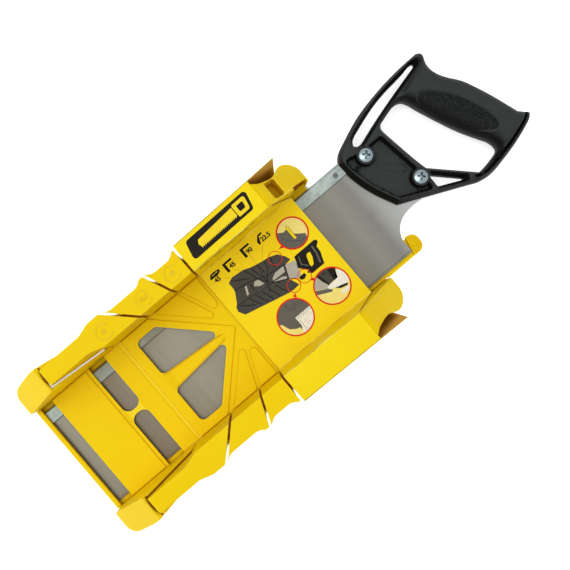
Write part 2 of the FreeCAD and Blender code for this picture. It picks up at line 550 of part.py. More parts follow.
# ---- latch --------------------------------------------------------------------------
def saw_lock():
    """Springy tongue under the heel of the blade, ending in a ribbed thumb pad."""
    tongue = fuse(block(ROOT_X, PAD_X + 2, *TONGUE_Y, *TONGUE_Z),
                  block(HANDLE_EAR_X + 1, PAD_X + 2, PAD_Y[0], TONGUE_Y[1], *TONGUE_Z))
    # the front edge of the pad follows the sweep of the heel
    pad_face = rounded([(PAD_X, PAD_Y[0], 0.6), (PAD_END_X, PAD_Y[0], 7.8), (PAD_END_X, PAD_Y[1], 7.8),
                        (PAD_X + 3.2, PAD_Y[1], 1.0), (PAD_X, PAD_Y[0] + 5.5, 2.0)])
    pad = prism(pad_face, TONGUE_Z[0], PAD_TOP_Z - RIDGE_H)
    ridges = []
    base_z = PAD_TOP_Z - RIDGE_H
    for i in range(int((PAD_END_X - PAD_X) / RIDGE_PITCH)):
        x = PAD_X + i * RIDGE_PITCH
        foot_x = x + RIDGE_PITCH - 0.3
        ridges.append(side_prism([(x, base_z - 0.2, 0), (x, base_z, 0), (x + RIDGE_PITCH * 0.55, PAD_TOP_Z, 0),
                                  (foot_x, base_z, 0), (foot_x, base_z - 0.2, 0)], *PAD_Y))
    crests = fuse(*ridges).common(prism(pad_face, 0, 40))
    return fuse(tongue, pad, crests)


# ---- sleeve -------------------------------------------------------------------------
def card_section(half_top):
    """Outer fold points of the card on the +Y side, from the front panel to the floor."""
    front_z, flap_z = FRONT_PANEL_Z + CARD, FLAP_Z + CARD
    return [(0.0, front_z), (SLEEVE_IN_Y - CARD, front_z), (SLEEVE_IN_Y - CARD, flap_z), (half_top, flap_z),
            (SLEEVE_FOOT_Y, 0.0), (0.0, 0.0)]


def inner_section(half_top):
    """Inner fold points, a card thickness inside the outer ones."""
    return [(0.0, FRONT_PANEL_Z), (SLEEVE_IN_Y, FRONT_PANEL_Z), (SLEEVE_IN_Y, FLAP_Z),
            (half_top - CARD, FLAP_Z), (SLEEVE_FOOT_Y - CARD, CARD), (0.0, CARD)]


def card_panel(index, x0, x1, whole=False):
    """One flat panel between two folds, flared a little towards the handle end.

    A whole panel spans both sides of the box; the others belong to the +Y side.
    """
    wires = []
    for x in (x0, x1):
        t = (x - SLEEVE_X[0]) / (SLEEVE_X[1] - SLEEVE_X[0])
        half_top = SLEEVE_TOP_Y[0] + t * (SLEEVE_TOP_Y[1] - SLEEVE_TOP_Y[0])
        outer, inner = card_section(half_top), inner_section(half_top)
        quad = [outer[index], outer[index + 1], inner[index + 1], inner[index]]
        if whole:
            outer_y, inner_y = max(quad[0][0], quad[1][0]), max(quad[2][0], quad[3][0])
            outer_z, inner_z = quad[0][1], quad[2][1]
            quad = [(-outer_y, outer_z), (outer_y, outer_z), (inner_y, inner_z), (-inner_y, inner_z)]
        points = [V(x, y, z) for y, z in quad]
        wires.append(Part.makePolygon(points + points[:1]))
    return Part.makeLoft(wires, True, True)


def sleeve_panels():
    """Eight flat panels of the folded card: front, two inner, two flaps, two sides, floor."""
    ear_line = side_prism([(FLAP_END_X, 90, 0), (FLAP_END_X, WALL_Z - 1.5, 4), (SLEEVE_X[1] + 1, WALL_Z - 27, 0),
                           (SLEEVE_X[1] + 1, 90, 0)], 40, 70)
    inner = card_panel(1, *SLEEVE_X).cut(ear_line)
    flap = card_panel(2, SLEEVE_X[0], FLAP_END_X)
    side = card_panel(3, *SLEEVE_X)
    panels = {"sleeve_front": card_panel(0, *SLEEVE_X, whole=True),
              "sleeve_floor": card_panel(4, *SLEEVE_X, whole=True)}
    for name, shape in (("inner", inner), ("flap", flap), ("side", side)):
        panels["sleeve_left_" + name] = shape
        panels["sleeve_right_" + name] = mirrored(shape)
    return panels


# ---- everything ---------------------------------------------------------------------
def nodes():
    made = {"base_plate": base_plate(), "end_wall": end_wall(), "left_wall": wall(True),
            "right_wall": mirrored(wall(False)), "saw_lock": saw_lock(), "blade": blade(), "spine": spine(),
            "spine_rivet": spine_rivet(), "handle": handle()}
    for i, (x, y) in enumerate(SCREWS, 1):
        made["handle_screw_%d" % i] = handle_screw(x, y)
        made["handle_nut_%d" % i] = handle_nut(x, y)
    made.update(sleeve_panels())
    return made


os.makedirs("parts", exist_ok=True)
for name, shape in nodes().items():
    shape.translate(V(-ORIGIN_X, 0, 0))
    shape.exportStep("parts/" + name + ".step")
    box = shape.BoundBox
    print("%-20s solids %d  valid %s  x %.1f %.1f  y %.1f %.1f  z %.1f %.1f" % (
        name, len(shape.Solids), shape.isValid(), box.XMin, box.XMax, box.YMin, box.YMax, box.ZMin, box.ZMax))
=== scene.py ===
"""Looks for the saw-storage mitre box: materials on the CAD nodes, a sculpted handle, the folded and
printed card sleeve, the embossed angle marks, and a plain studio. Drawing units are millimetres from
the cutting centre, where the saw slots cross; place() turns them into the frame's metres."""
import math

import bmesh
import bpy
import numpy as np
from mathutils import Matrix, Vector
from mathutils.geometry import delaunay_2d_cdt


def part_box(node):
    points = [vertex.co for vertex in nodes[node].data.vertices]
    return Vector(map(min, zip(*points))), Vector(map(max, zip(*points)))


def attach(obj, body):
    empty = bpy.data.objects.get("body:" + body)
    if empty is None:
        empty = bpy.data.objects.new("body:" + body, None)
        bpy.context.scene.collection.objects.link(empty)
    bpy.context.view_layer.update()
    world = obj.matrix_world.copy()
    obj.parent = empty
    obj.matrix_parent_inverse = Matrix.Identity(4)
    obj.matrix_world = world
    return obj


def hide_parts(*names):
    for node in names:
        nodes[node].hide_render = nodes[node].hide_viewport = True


MM = 0.001

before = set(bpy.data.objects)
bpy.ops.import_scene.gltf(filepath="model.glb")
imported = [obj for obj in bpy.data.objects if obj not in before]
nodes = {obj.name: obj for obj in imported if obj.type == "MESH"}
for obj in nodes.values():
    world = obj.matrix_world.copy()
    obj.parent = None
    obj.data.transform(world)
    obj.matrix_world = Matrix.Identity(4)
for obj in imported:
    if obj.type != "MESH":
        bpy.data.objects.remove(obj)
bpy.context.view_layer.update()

# ---- the frame's own places ----
END_RIM_TO_CUT = 190.6                                  # outer face of the end wall to the cutting centre
CUT_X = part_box("end_wall")[0].x / MM + END_RIM_TO_CUT    # the cutting centre in the shared frame
BED_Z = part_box("base_plate")[1].z / MM
WALL_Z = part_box("left_wall")[1].z / MM
BLADE_Z = (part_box("blade")[0].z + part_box("blade")[1].z) / 2 / MM
HANDLE_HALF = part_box("handle")[1].z / MM - BLADE_Z
SCREWS = []
for screw in ("handle_screw_1", "handle_screw_2"):
    low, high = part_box(screw)
    middle = (low + high) / 2 / MM
    SCREWS.append((middle.x - CUT_X, middle.y))


def place(x, y, z):
    """Point of the shared frame, in metres, from drawing millimetres."""
    return Vector(((x + CUT_X) * MM, y * MM, z * MM))


# ---- materials ----
def srgb(r, g, b):
    """Linear colour from 0-255 display values."""
    def one(v):
        v /= 255
        return v / 12.92 if v <= 0.04045 else ((v + 0.055) / 1.055) ** 2.4
    return (one(r), one(g), one(b), 1.0)


class Finish:
    """A Principled material with small helpers for its texture nodes."""

    def __init__(self, name, colour, roughness, metallic=0.0, specular=0.5):
        self.material = bpy.data.materials.new(name)
        self.material.use_nodes = True
        self.tree = self.material.node_tree
        self.shader = self.tree.nodes["Principled BSDF"]
        for socket, value in (("Base Color", colour), ("Roughness", roughness), ("Metallic", metallic),
                              ("Specular IOR Level", specular)):
            self.shader.inputs[socket].default_value = value
        self.height = None

    def node(self, kind, **values):
        made = self.tree.nodes.new(kind)
        for key, value in values.items():
            if key in made.inputs:
                made.inputs[key].default_value = value
            else:
                setattr(made, key, value)
        return made

    def link(self, source, target):
        self.tree.links.new(source, target)

    def coords(self, scale=(1, 1, 1)):
        """Object coordinates stretched by scale."""
        where = self.node("ShaderNodeTexCoord")
        mapping = self.node("ShaderNodeMapping")
        mapping.inputs["Scale"].default_value = scale
        self.link(where.outputs["Object"], mapping.inputs["Vector"])
        return mapping.outputs["Vector"]

    def noise(self, per_metre, detail=3.0, stretch=(1, 1, 1), rough=0.55):
        made = self.node("ShaderNodeTexNoise", Scale=per_metre, Detail=detail, Roughness=rough)
        self.link(self.coords(stretch), made.inputs["Vector"])
        return made.outputs["Fac"]

    def maths(self, kind, *values):
        """Output of a math node; each value is a number or another node's output."""
        made = self.node("ShaderNodeMath", operation=kind)
        for socket, value in zip(made.inputs, values):
            if isinstance(value, (int, float)):
                socket.default_value = value
            else:
                self.link(value, socket)
        return made.outputs[0]

    def remap(self, value, low, high, to_low=0.0, to_high=1.0):
        """Carries low..high over to to_low..to_high, held at the ends."""
        made = self.node("ShaderNodeMapRange")
        for socket, limit in zip(("From Min", "From Max", "To Min", "To Max"), (low, high, to_low, to_high)):
            made.inputs[socket].default_value = limit
        self.link(value, made.inputs["Value"])
        return made.outputs["Result"]

    def part_of(self, vector, axis):
        """One component of a vector output."""
        made = self.node("ShaderNodeSeparateXYZ")
        self.link(vector, made.inputs[0])
        return made.outputs[axis]

    def position(self, axis):
        return self.part_of(self.node("ShaderNodeTexCoord").outputs["Object"], axis)

    def along(self, axis, low, high):
        """0 to 1 between two millimetre positions along an axis of the frame, from the cutting centre."""
        offset = CUT_X if axis == "X" else 0.0
        return self.remap(self.position(axis), (low + offset) * MM, (high + offset) * MM)

    def cavity(self, reach_mm, low, high):
        """0 in recesses narrower than about reach_mm, 1 in the open."""
        made = self.node("ShaderNodeAmbientOcclusion", samples=8)
        made.inputs["Distance"].default_value = reach_mm * MM
        return self.fade(made.outputs["AO"], low, high)

    def crest(self, reach_mm):
        """About 0.6 on outside edges, 0 on broad faces."""
        made = self.node("ShaderNodeAmbientOcclusion", samples=8, inside=True)
        made.inputs["Distance"].default_value = reach_mm * MM
        return self.ramp(made.outputs["AO"], [(0.35, 0.6), (0.8, 0.0)])

    def stripes(self, axis, pitch_mm, start_mm):
        """Wave along an axis, 1 once every pitch."""
        turn = 2 * math.pi / (pitch_mm * MM)
        start = (start_mm + (CUT_X if axis == "X" else 0)) * MM
        return self.maths("COSINE", self.maths("MULTIPLY_ADD", self.position(axis), turn, -turn * start))

    def facing_up(self, low, high):
        """0 on steep faces, 1 on level ones."""
        normal = self.node("ShaderNodeNewGeometry").outputs["Normal"]
        return self.remap(self.maths("ABSOLUTE", self.part_of(normal, "Z")), low, high)

    def fade(self, fac, low, high, top=1.0):
        """0 up to low, top from high on."""
        return self.ramp(fac, [(low, 0.0), (high, top)])

    def ramp(self, fac, stops):
        """Colour ramp from (position, colour or grey value) stops."""
        made = self.node("ShaderNodeValToRGB")
        elements = made.color_ramp.elements
        while len(elements) < len(stops):
            elements.new(0.5)
        for element, (position, value) in zip(elements, stops):
            element.position = position
            element.color = value if isinstance(value, tuple) else (value, value, value, 1.0)
        self.link(fac, made.inputs["Fac"])
        return made.outputs["Color"]

    def mix(self, fac, a, b, blend="MIX"):
        made = self.node("ShaderNodeMix", data_type="RGBA", blend_type=blend)
        sockets = {"fac": made.inputs[0], "a": made.inputs[6], "b": made.inputs[7]}
        for key, value in (("fac", fac), ("a", a), ("b", b)):
            if isinstance(value, (int, float, tuple)):
                sockets[key].default_value = value
            else:
                self.link(value, sockets[key])
        return made.outputs[2]

    def tint(self, colour_output):
        self.link(colour_output, self.shader.inputs["Base Color"])

    def roughen(self, fac, low, high):
        self.link(self.remap(fac, 0.0, 1.0, low, high), self.shader.inputs["Roughness"])

    def bump(self, fac, depth_mm, strength=1.0):
        """Adds a bump layer, depth_mm high, over the ones before it."""
        made = self.node("ShaderNodeBump", Strength=strength, Distance=depth_mm * MM)
        self.link(fac, made.inputs["Height"])
        if self.height is not None:
            self.link(self.height, made.inputs["Normal"])
        self.height = made.outputs["Normal"]
        self.link(self.height, self.shader.inputs["Normal"])

    def soft_edges(self, radius_mm):
        """Rounds sharp edges in the shading, the small radius every moulding has."""
        made = self.node("ShaderNodeBevel", samples=4)
        made.inputs["Radius"].default_value = radius_mm * MM
        self.height = made.outputs["Normal"]
        self.link(self.height, self.shader.inputs["Normal"])


YELLOW = srgb(246, 212, 4)
YELLOW_DEEP = srgb(241, 204, 2)
INK_WEAR = 0.64           # how far worn print lightens


def moulded_yellow(name):
    """Satin ABS: even colour with faint flow marks, a fine spark-eroded grain, rounded edges; painted shade
    in narrow recesses and a painted highlight on outside edges.
    """
    f = Finish(name, YELLOW, 0.45, specular=0.07)
    f.soft_edges(0.7)
    flow = f.noise(14, 4, stretch=(0.5, 1.4, 1.0))
    tone = f.mix(f.fade(flow, 0.35, 0.75), YELLOW, YELLOW_DEEP)
    # painted shade: narrow recesses and creases turn deep ochre
    tone = f.mix(f.cavity(2.6, 0.35, 0.95), srgb(206, 152, 4), tone)
    # painted highlight: outside edges turn pale yellow
    f.tint(f.mix(f.crest(1.3), tone, srgb(255, 232, 60)))
    f.roughen(f.noise(300, 2), 0.36, 0.5)
    f.bump(f.noise(2600, 2), 0.015)
    f.bump(f.noise(60, 2), 0.05)
    f.shader.inputs["Subsurface Weight"].default_value = 0.06
    f.shader.inputs["Subsurface Radius"].default_value = (0.004, 0.002, 0.0005)
    return f.material


def blade_steel():
    """Rolled plate, ground across its width: fine scratches, broad soft bands, a few stains; painted
    reflections make it lighter and darker along its length, and painted shade darkens the tooth line.
    """
    f = Finish("blade_steel", srgb(150, 146, 136), 0.42, metallic=0.75)
    bands = f.noise(16, 2, stretch=(1.0, 0.02, 1.0))
    scratch = f.noise(900, 3, stretch=(1.0, 0.02, 1.0))
    stain = f.noise(35, 5)
    # painted reflection: the tone along the length, lighter at the toe end and brightest toward the handle,
    # darker in places between
    length = f.ramp(f.along("X", -190, 215), [
        (0.0, srgb(126, 122, 109)), (0.11, srgb(116, 107, 89)), (0.16, srgb(100, 88, 71)),
        (0.22, srgb(104, 93, 75)),
        (0.32, srgb(127, 123, 107)), (0.5, srgb(135, 131, 116)), (0.72, srgb(118, 110, 91)),
        (0.78, srgb(116, 114, 106)), (0.81, srgb(131, 129, 120)), (0.85, srgb(118, 118, 115)),
        (0.89, srgb(169, 173, 171)), (1.0, srgb(215, 220, 220))])
    tone = f.mix(f.fade(bands, 0.35, 0.75, 0.3), length, srgb(168, 164, 150))
    tone = f.mix(f.fade(stain, 0.6, 0.8, 0.25), tone, srgb(112, 104, 86))
    # painted shade: the tooth line is painted dark, darkest in the gullets between the set teeth
    edge = f.ramp(f.along("Y", -50.6, -49.9), [(0.0, 1.0), (1.0, 0.0)])
    gullet_shade = f.fade(f.stripes("X", 2.3, 161.6), 0.4, 0.75, 0.85)
    f.tint(f.mix(f.mix(1.0, edge, gullet_shade, "MULTIPLY"), tone, srgb(46, 40, 26)))
    f.roughen(scratch, 0.36, 0.55)
    f.bump(scratch, 0.006)
    return f.material


def spine_steel():
    """Zinc-plated fold: silver blue, mottled with small darker spangles, with painted reflections that
    lighten and darken it along its length.
    """
    f = Finish("spine_steel", srgb(190, 208, 208), 0.35, metallic=0.7)
    spangle = f.noise(260, 5, stretch=(0.5, 1.0, 1.0), rough=0.75)
    cloud = f.noise(45, 3)
    # painted reflection: the tone along the length, brightest toward the handle
    length = f.ramp(f.along("X", -190, 170), [
        (0.0, srgb(141, 157, 149)), (0.13, srgb(138, 151, 141)), (0.17, srgb(115, 118, 107)),
        (0.27, srgb(115, 113, 100)), (0.36, srgb(112, 110, 97)), (0.76, srgb(108, 113, 102)),
        (0.82, srgb(131, 141, 134)), (0.93, srgb(185, 198, 194)), (1.0, srgb(146, 157, 156))])
    tone = f.mix(f.fade(spangle, 0.46, 0.6, 0.55), length, srgb(128, 136, 128))
    f.tint(f.mix(f.fade(cloud, 0.45, 0.7, 0.45), tone, srgb(132, 142, 136)))
    f.roughen(spangle, 0.28, 0.5)
    f.bump(spangle, 0.03)
    return f.material


def zinc(name, colour):
    """Bright plate, with painted shade in its recesses."""
    f = Finish(name, colour, 0.26, metallic=0.85)
    f.soft_edges(0.25)
    half_tone = tuple(0.5 * c for c in colour[:3]) + (1.0,)
    # painted shade: the recesses turn a near black blue grey
    f.tint(f.mix(f.cavity(2.4, 0.45, 0.8), srgb(22, 30, 38), f.mix(f.noise(500, 3), colour, half_tone)))
    f.bump(f.noise(1400, 2), 0.01)
    return f.material


def handle_black(name, dotted):
    """Black moulding: grained faces and smoother sides; painted shade turns the steep sides and the recesses
    near black; the grip patch is dimpled.
    """
    f = Finish(name, srgb(38, 41, 41), 0.5, specular=0.14)
    face = f.mix(f.noise(90, 4), srgb(44, 48, 47), srgb(56, 61, 60))
    if dotted:
        cells = f.node("ShaderNodeTexVoronoi", Scale=640.0)
        f.link(f.coords(), cells.inputs["Vector"])
        dots = f.ramp(cells.outputs["Distance"], [(0.1, 1.0), (0.45, 0.0)])
        face = f.mix(dots, srgb(20, 22, 22), srgb(52, 55, 54))
        f.bump(cells.outputs["Distance"], -0.4)
        f.shader.inputs["Roughness"].default_value = 0.6
    else:
        f.roughen(f.noise(500, 2), 0.42, 0.58)
        f.bump(f.noise(1800, 2), 0.03)
    # painted shade: steep faces are painted near black
    face = f.mix(f.facing_up(0.55, 0.985), srgb(11, 12, 12), face)
    # painted shade: recesses are painted near black
    f.tint(f.mix(f.cavity(5, 0.35, 0.85), srgb(10, 11, 11), face))
    return f.material


def card_print():
    """Coated, printed board: slight gloss, faint fibre ripple."""
    f = Finish("card_print", srgb(250, 220, 6), 0.4, specular=0.12)
    fibre = f.noise(420, 4, stretch=(0.4, 1.0, 1.0))
    f.tint(f.mix(f.fade(f.noise(20, 3), 0.4, 0.8), srgb(250, 221, 6), srgb(245, 213, 4)))
    f.bump(fibre, 0.012)
    f.bump(f.noise(26, 2), 0.12)
    return f.material


def card_back():
    """Raw brown board with short fibres."""
    f = Finish("card_back", srgb(176, 124, 48), 0.85, specular=0.2)
    fibre = f.noise(700, 5, stretch=(0.25, 1.0, 1.0), rough=0.7)
    f.tint(f.mix(fibre, srgb(196, 148, 52), srgb(228, 182, 84)))
    f.bump(fibre, 0.05)
    return f.material


def fold_wear_and_shade(name, colour, patch_colour):
    """Printed board along a fold: a darker yellow with patches of a second colour; on the inner folds the
    pale patches are cracked coat, on the outer fold the darker base and patches are painted shade.
    """
    f = Finish(name, colour, 0.5, specular=0.3)
    patch = f.noise(120, 4, stretch=(0.35, 1.0, 1.0))
    f.tint(f.mix(f.fade(patch, 0.38, 0.62), colour, patch_colour))
    f.bump(f.noise(600, 3), 0.04)
    return f.material


def ink(name, colour):
    """Printed ink on the coated board."""
    f = Finish(name, colour, 0.45, specular=0.12)
    lighter = tuple(min(1.0, c * 1.25 + 0.01) for c in colour[:3]) + (1.0,)
    f.tint(f.mix(f.fade(f.noise(300, 4), 0.45, 0.9, INK_WEAR), colour, lighter))
    return f.material


BOX = moulded_yellow("box_abs")
LATCH = moulded_yellow("latch_abs")
MATERIALS = {"base_plate": BOX, "end_wall": BOX, "left_wall": BOX, "right_wall": BOX, "saw_lock": LATCH,
             "blade": blade_steel(), "spine": spine_steel(),
             "spine_rivet": zinc("rivet_zinc", srgb(108, 116, 116))}
SCREW_ZINC = zinc("screw_zinc", srgb(196, 216, 224))
for name in nodes:
    if name.startswith(("handle_screw", "handle_nut")):
        MATERIALS[name] = SCREW_ZINC
for name, material in MATERIALS.items():
    for slot in nodes[name].material_slots:
        slot.material = material

CARD, CARD_BACK = card_print(), card_back()
BLACK, BLACK_GRIP = handle_black("handle_abs", False), handle_black("handle_grip_grain", True)
INK_DARK = ink("ink_dark", srgb(68, 66, 60))
INK_BLACK = ink("ink_black", srgb(24, 20, 14))
INK_RED = ink("ink_red", srgb(214, 30, 22))
INK_PALE = ink("ink_pale", srgb(242, 226, 132))
INK_GREY = ink("ink_grey", srgb(176, 172, 160))
INK_WHITE = ink("ink_white", srgb(236, 234, 224))
INK_YELLOW = ink("ink_yellow", srgb(246, 214, 30))
INK_OCHRE = ink("ink_ochre", srgb(206, 140, 30))
INK_STONE = ink("ink_stone", srgb(98, 96, 90))
FOLD_WORN = fold_wear_and_shade("card_fold_worn", srgb(206, 176, 14), srgb(250, 230, 96))
# painted shade: the outer fold, a darker yellow with darker patches
FOLD_SHADE = fold_wear_and_shade("card_fold_painted_shade", srgb(206, 170, 16), srgb(160, 128, 18))


# ---- mesh helpers ----
def mesh_object(name, points, faces, materials, face_materials=None, smooth=True):
    """points are (x, y, z) in millimetres from the cutting centre and the table."""
    mesh = bpy.data.meshes.new(name)
    mesh.from_pydata([place(*p) for p in points], [], faces)
    for material in materials:
        mesh.materials.append(material)
    if face_materials is not None:
        mesh.polygons.foreach_set("material_index", face_materials)
    mesh.polygons.foreach_set("use_smooth", [smooth] * len(mesh.polygons))
    mesh.validate()
    mesh.update()
    made = bpy.data.objects.new(name, mesh)
    bpy.context.scene.collection.objects.link(made)
    return made


def spline(points, step):
    """Natural cubic curve through the points, sampled about every step, without its last point."""
    points = np.array(points, float)
    if len(points) == 2:
        count = max(1, int(round(np.linalg.norm(points[1] - points[0]) / step)))
        t = np.arange(count)[:, None] / count
        return points[0] * (1 - t) + points[1] * t
    chord = np.linalg.norm(np.diff(points, axis=0), axis=1)
    n = len(points)
    system, right = np.zeros((n, n)), np.zeros((n, 2))
    system[0, 0] = system[-1, -1] = 1
    for i in range(1, n - 1):
        system[i, i - 1:i + 2] = chord[i - 1], 2 * (chord[i - 1] + chord[i]), chord[i]
        right[i] = 6 * ((points[i + 1] - points[i]) / chord[i] - (points[i] - points[i - 1]) / chord[i - 1])
    bend = np.linalg.solve(system, right)
    made = []
    for i in range(n - 1):
        count = max(1, int(round(chord[i] / step)))
        for t in np.arange(count) / count * chord[i]:
            a, b = chord[i] - t, t
            made.append((bend[i] * a ** 3 + bend[i + 1] * b ** 3) / (6 * chord[i])
                        + (points[i] / chord[i] - bend[i] * chord[i] / 6) * a
                        + (points[i + 1] / chord[i] - bend[i + 1] * chord[i] / 6) * b)
    return np.array(made)


def loop(stretches, step):
    """Closed loop of smooth stretches that meet at corners."""
    return np.concatenate([spline(s, step) for s in stretches])


def rounded_loop(corners, step):
    """Closed loop from (x, y, radius) corners with arcs at the corners."""
    made = []
    count = len(corners)
    for i, (x, y, radius) in enumerate(corners):
        here = np.array((x, y), float)
        back = np.array(corners[i - 1][:2]) - here
        ahead = np.array(corners[(i + 1) % count][:2]) - here
        back, ahead = back / np.linalg.norm(back), ahead / np.linalg.norm(ahead)
        if radius == 0:
            made.append(here[None])
            continue
        half = math.acos(np.clip(back @ ahead, -1, 1)) / 2
        centre = here + (back + ahead) / np.linalg.norm(back + ahead) * radius / math.sin(half)
        start, stop = here + back * radius / math.tan(half), here + ahead * radius / math.tan(half)
        a0 = math.atan2(*(start - centre)[::-1])
        turn = (math.atan2(*(stop - centre)[::-1]) - a0 + math.pi) % (2 * math.pi) - math.pi
        parts = max(2, int(abs(turn) * radius / step))
        angles = a0 + turn * np.arange(parts + 1) / parts
        made.append(centre + radius * np.stack([np.cos(angles), np.sin(angles)], 1))
    return np.concatenate(made)


def circle_loop(x, y, radius, step):
    parts = max(12, int(2 * math.pi * radius / step))
    angles = 2 * math.pi * np.arange(parts) / parts
    return np.stack([x + radius * np.cos(angles), y + radius * np.sin(angles)], 1)


def inside(points, loops):
    """Even-odd test of many points against closed loops."""
    result = np.zeros(len(points), bool)
    for ring in loops:
        a, b = ring, np.roll(ring, -1, axis=0)
        for (x0, y0), (x1, y1) in zip(a, b):
            if y0 == y1:
                continue
            hit = (points[:, 1] >= min(y0, y1)) & (points[:, 1] < max(y0, y1))
            cross = x0 + (points[:, 1] - y0) * (x1 - x0) / (y1 - y0)
            result ^= hit & (points[:, 0] < cross)
    return result


def distance(points, loops):
    """Distance of many points to the nearest edge of closed loops."""
    a = np.concatenate(loops)
    b = np.concatenate([np.roll(ring, -1, axis=0) for ring in loops])
    way = b - a
    length = (way ** 2).sum(1)
    best = np.full(len(points), 1e9)
    for start in range(0, len(points), 2000):
        part = points[start:start + 2000, None]
        t = np.clip(((part - a) * way).sum(2) / length, 0, 1)
        gap = part - (a + way * t[..., None])
        best[start:start + 2000] = np.sqrt((gap ** 2).sum(2).min(1))
    return best


def smoothstep(low, high, value):
    """0 below low, 1 above high, smooth between; high may be the smaller."""
    t = np.clip((value - low) / (high - low), 0, 1)
    return t * t * (3 - 2 * t)


def normals(ring):
    """Sideways unit vector at each point of a closed loop."""
    ahead = np.roll(ring, -1, axis=0) - np.roll(ring, 1, axis=0)
    return np.stack([-ahead[:, 1], ahead[:, 0]], 1) / np.maximum(np.linalg.norm(ahead, axis=1), 1e-6)[:, None]


def triangulate(rings, fill, least_area):
    """Plan points and upward triangles between closed loops, with the fill points between them."""
    edges, start = [], 0
    for ring in rings:
        edges += [(start + i, start + (i + 1) % len(ring)) for i in range(len(ring))]
        start += len(ring)
    made = delaunay_2d_cdt([Vector(p) for p in np.concatenate(rings + fill)], edges, [], 0, 1e-5)
    plan = np.array([tuple(v) for v in made[0]])
    triangles = np.array(made[2])
    triangles = triangles[inside(plan[triangles].mean(1), rings)]
    a, b, c = (plan[triangles[:, i]] for i in range(3))
    area = (b[:, 0] - a[:, 0]) * (c[:, 1] - a[:, 1]) - (b[:, 1] - a[:, 1]) * (c[:, 0] - a[:, 0])
    triangles, area = triangles[np.abs(area) > least_area], area[np.abs(area) > least_area]
    triangles[area < 0] = triangles[area < 0][:, ::-1]
    return plan, triangles


def two_sided(triangles, count, base=0):
    """Faces of a closed plate: its top, its underside count points later, and the walls between."""
    top = [tuple(int(v) + base for v in t) for t in triangles]
    used = dict.fromkeys((t[i], t[(i + 1) % 3]) for t in top for i in range(3))
    under = [tuple(v + count for v in t[::-1]) for t in top]
    return top + under + [(j, i, i + count, j + count) for i, j in used if (j, i) not in used]


def mend(piece, merge=0.0):
    """Joins points closer than merge, drops loose ones and turns the faces outwards."""
    edit = bmesh.new()
    edit.from_mesh(piece.data)
    if merge:
        bmesh.ops.remove_doubles(edit, verts=edit.verts, dist=merge)
    bmesh.ops.delete(edit, geom=[v for v in edit.verts if not v.link_faces], context="VERTS")
    bmesh.ops.recalc_face_normals(edit, faces=edit.faces)
    edit.to_mesh(piece.data)
    edit.free()


def sharpen(piece, degrees):
    """Keeps creases sharper than this and shades the rest smooth."""
    mesh = piece.data
    edit = bmesh.new()
    edit.from_mesh(mesh)
    limit = math.radians(degrees)
    for edge in edit.edges:
        edge.smooth = len(edge.link_faces) == 2 and edge.calc_face_angle(0) < limit
    edit.to_mesh(mesh)
    edit.free()


# ---- the handle ----
HANDLE_OUTER = [
    [(161.6, 50.5), (161.8, 42), (163, 31.5), (166, 19), (171, 5.3), (175.5, -4.2), (178.8, -11.2)],
    [(178.8, -11.2), (241.6, -40.0)],
    [(241.6, -40.0), (249, -43.3), (259, -44.9), (275, -42.8), (295, -38.2), (313, -32.2), (320.6, -28),
     (322.4, -25), (320.6, -21.8), (315.2, -16.3)],
    [(315.2, -16.3), (309.9, 0), (304.6, 14.7), (299.4, 27.3), (294.1, 37.8), (288.9, 44.6), (284.7, 50.6),
     (281.2, 58), (280.0, 65.1), (281, 70.4), (283.0, 74.6), (283.2, 79), (279.4, 81.9)],
    [(279.4, 81.9), (262.6, 81.5), (241.6, 79.8), (220.6, 76.5), (199.6, 71.4), (178.6, 63.2), (166, 56.3),
     (161.6, 50.5)]]
FINGER_HOLE = [
    [(220, -2.6), (218.5, 4.2), (214.3, 29.4), (211.6, 47)], [(211.6, 47), (211.9, 50.6), (214.8, 53.9)],
    [(214.8, 53.9), (231, 58.5)], [(231, 58.5), (235.6, 58.9), (240.6, 57.8), (243.9, 55.3), (246.2, 51.3)],
    [(246.2, 51.3), (252, 34.9), (261.6, 11.8), (272, -8.4), (279.4, -20.8)],
    [(279.4, -20.8), (281, -26.3), (280.6, -31), (277.6, -33.4)],
    [(277.6, -33.4), (262.6, -36.6), (256.2, -37.2)],
    [(256.2, -37.2), (254, -36.6), (252, -34.7)], [(252, -34.7), (220, -2.6)]]
TOP_SLOT = [
    [(182.8, 54.6), (184.2, 57.3), (187.6, 60), (194.3, 62.6), (215.4, 69.3), (241.6, 74.2), (264.7, 77.0),
     (270.8, 77.4), (273.2, 76.2), (271.4, 74.4)],
    [(271.4, 74.4), (236.4, 65.7), (210, 58.3), (193.3, 52.9)],
    [(193.3, 52.9), (189, 51.8), (184.9, 52.3), (182.8, 54.6)]]
GUARD_HOLE = [(217.6, -8.8, 1.2), (243.0, -34.6, 0.8), (217.4, -22.4, 2.0)]
PANEL = [(166, 50, 4), (166.5, 40, 20), (172, 16, 20), (182.5, -8, 3), (212, -22, 3), (212.5, 0, 20),
         (206, 46, 3), (182, 46, 6)]
GRIP = [(240, 58, 6), (258, 67, 6), (280.5, 78, 4), (280.5, 60, 10), (292, 42, 10), (306, 12, 30),
        (317, -18, 5), (316, -25, 5), (297, -30.5, 10), (282, -33, 4), (282, -24, 4), (262, 11, 30),
        (247, 50, 10)]
OVAL_CENTRE, OVAL_HALF, OVAL_TURN = np.array((271.5, 17.5)), (40.0, 11.0), math.radians(-62.0)
RIM_HALF, WEB_HALF, BOSS_HALF, BOSS_R, SEAT_R, SEAT_DEPTH = 9.0, 3.4, 9.6, 8.6, 6.45, 1.6
HOLE_R = 2.6
PLAQUE = ((189.0, 24.0), (203.0, 11.0))
TOE_LIP = HANDLE_OUTER[2][:8]
RIBS = [((184.2, 40.8), (165, 34)), ((184.2, 40.8), (197, 50)), ((209.4, -5.8), (197, -19)),
        ((209.4, -5.8), (219, -2)), ((184.2, 40.8), (175, 56))]


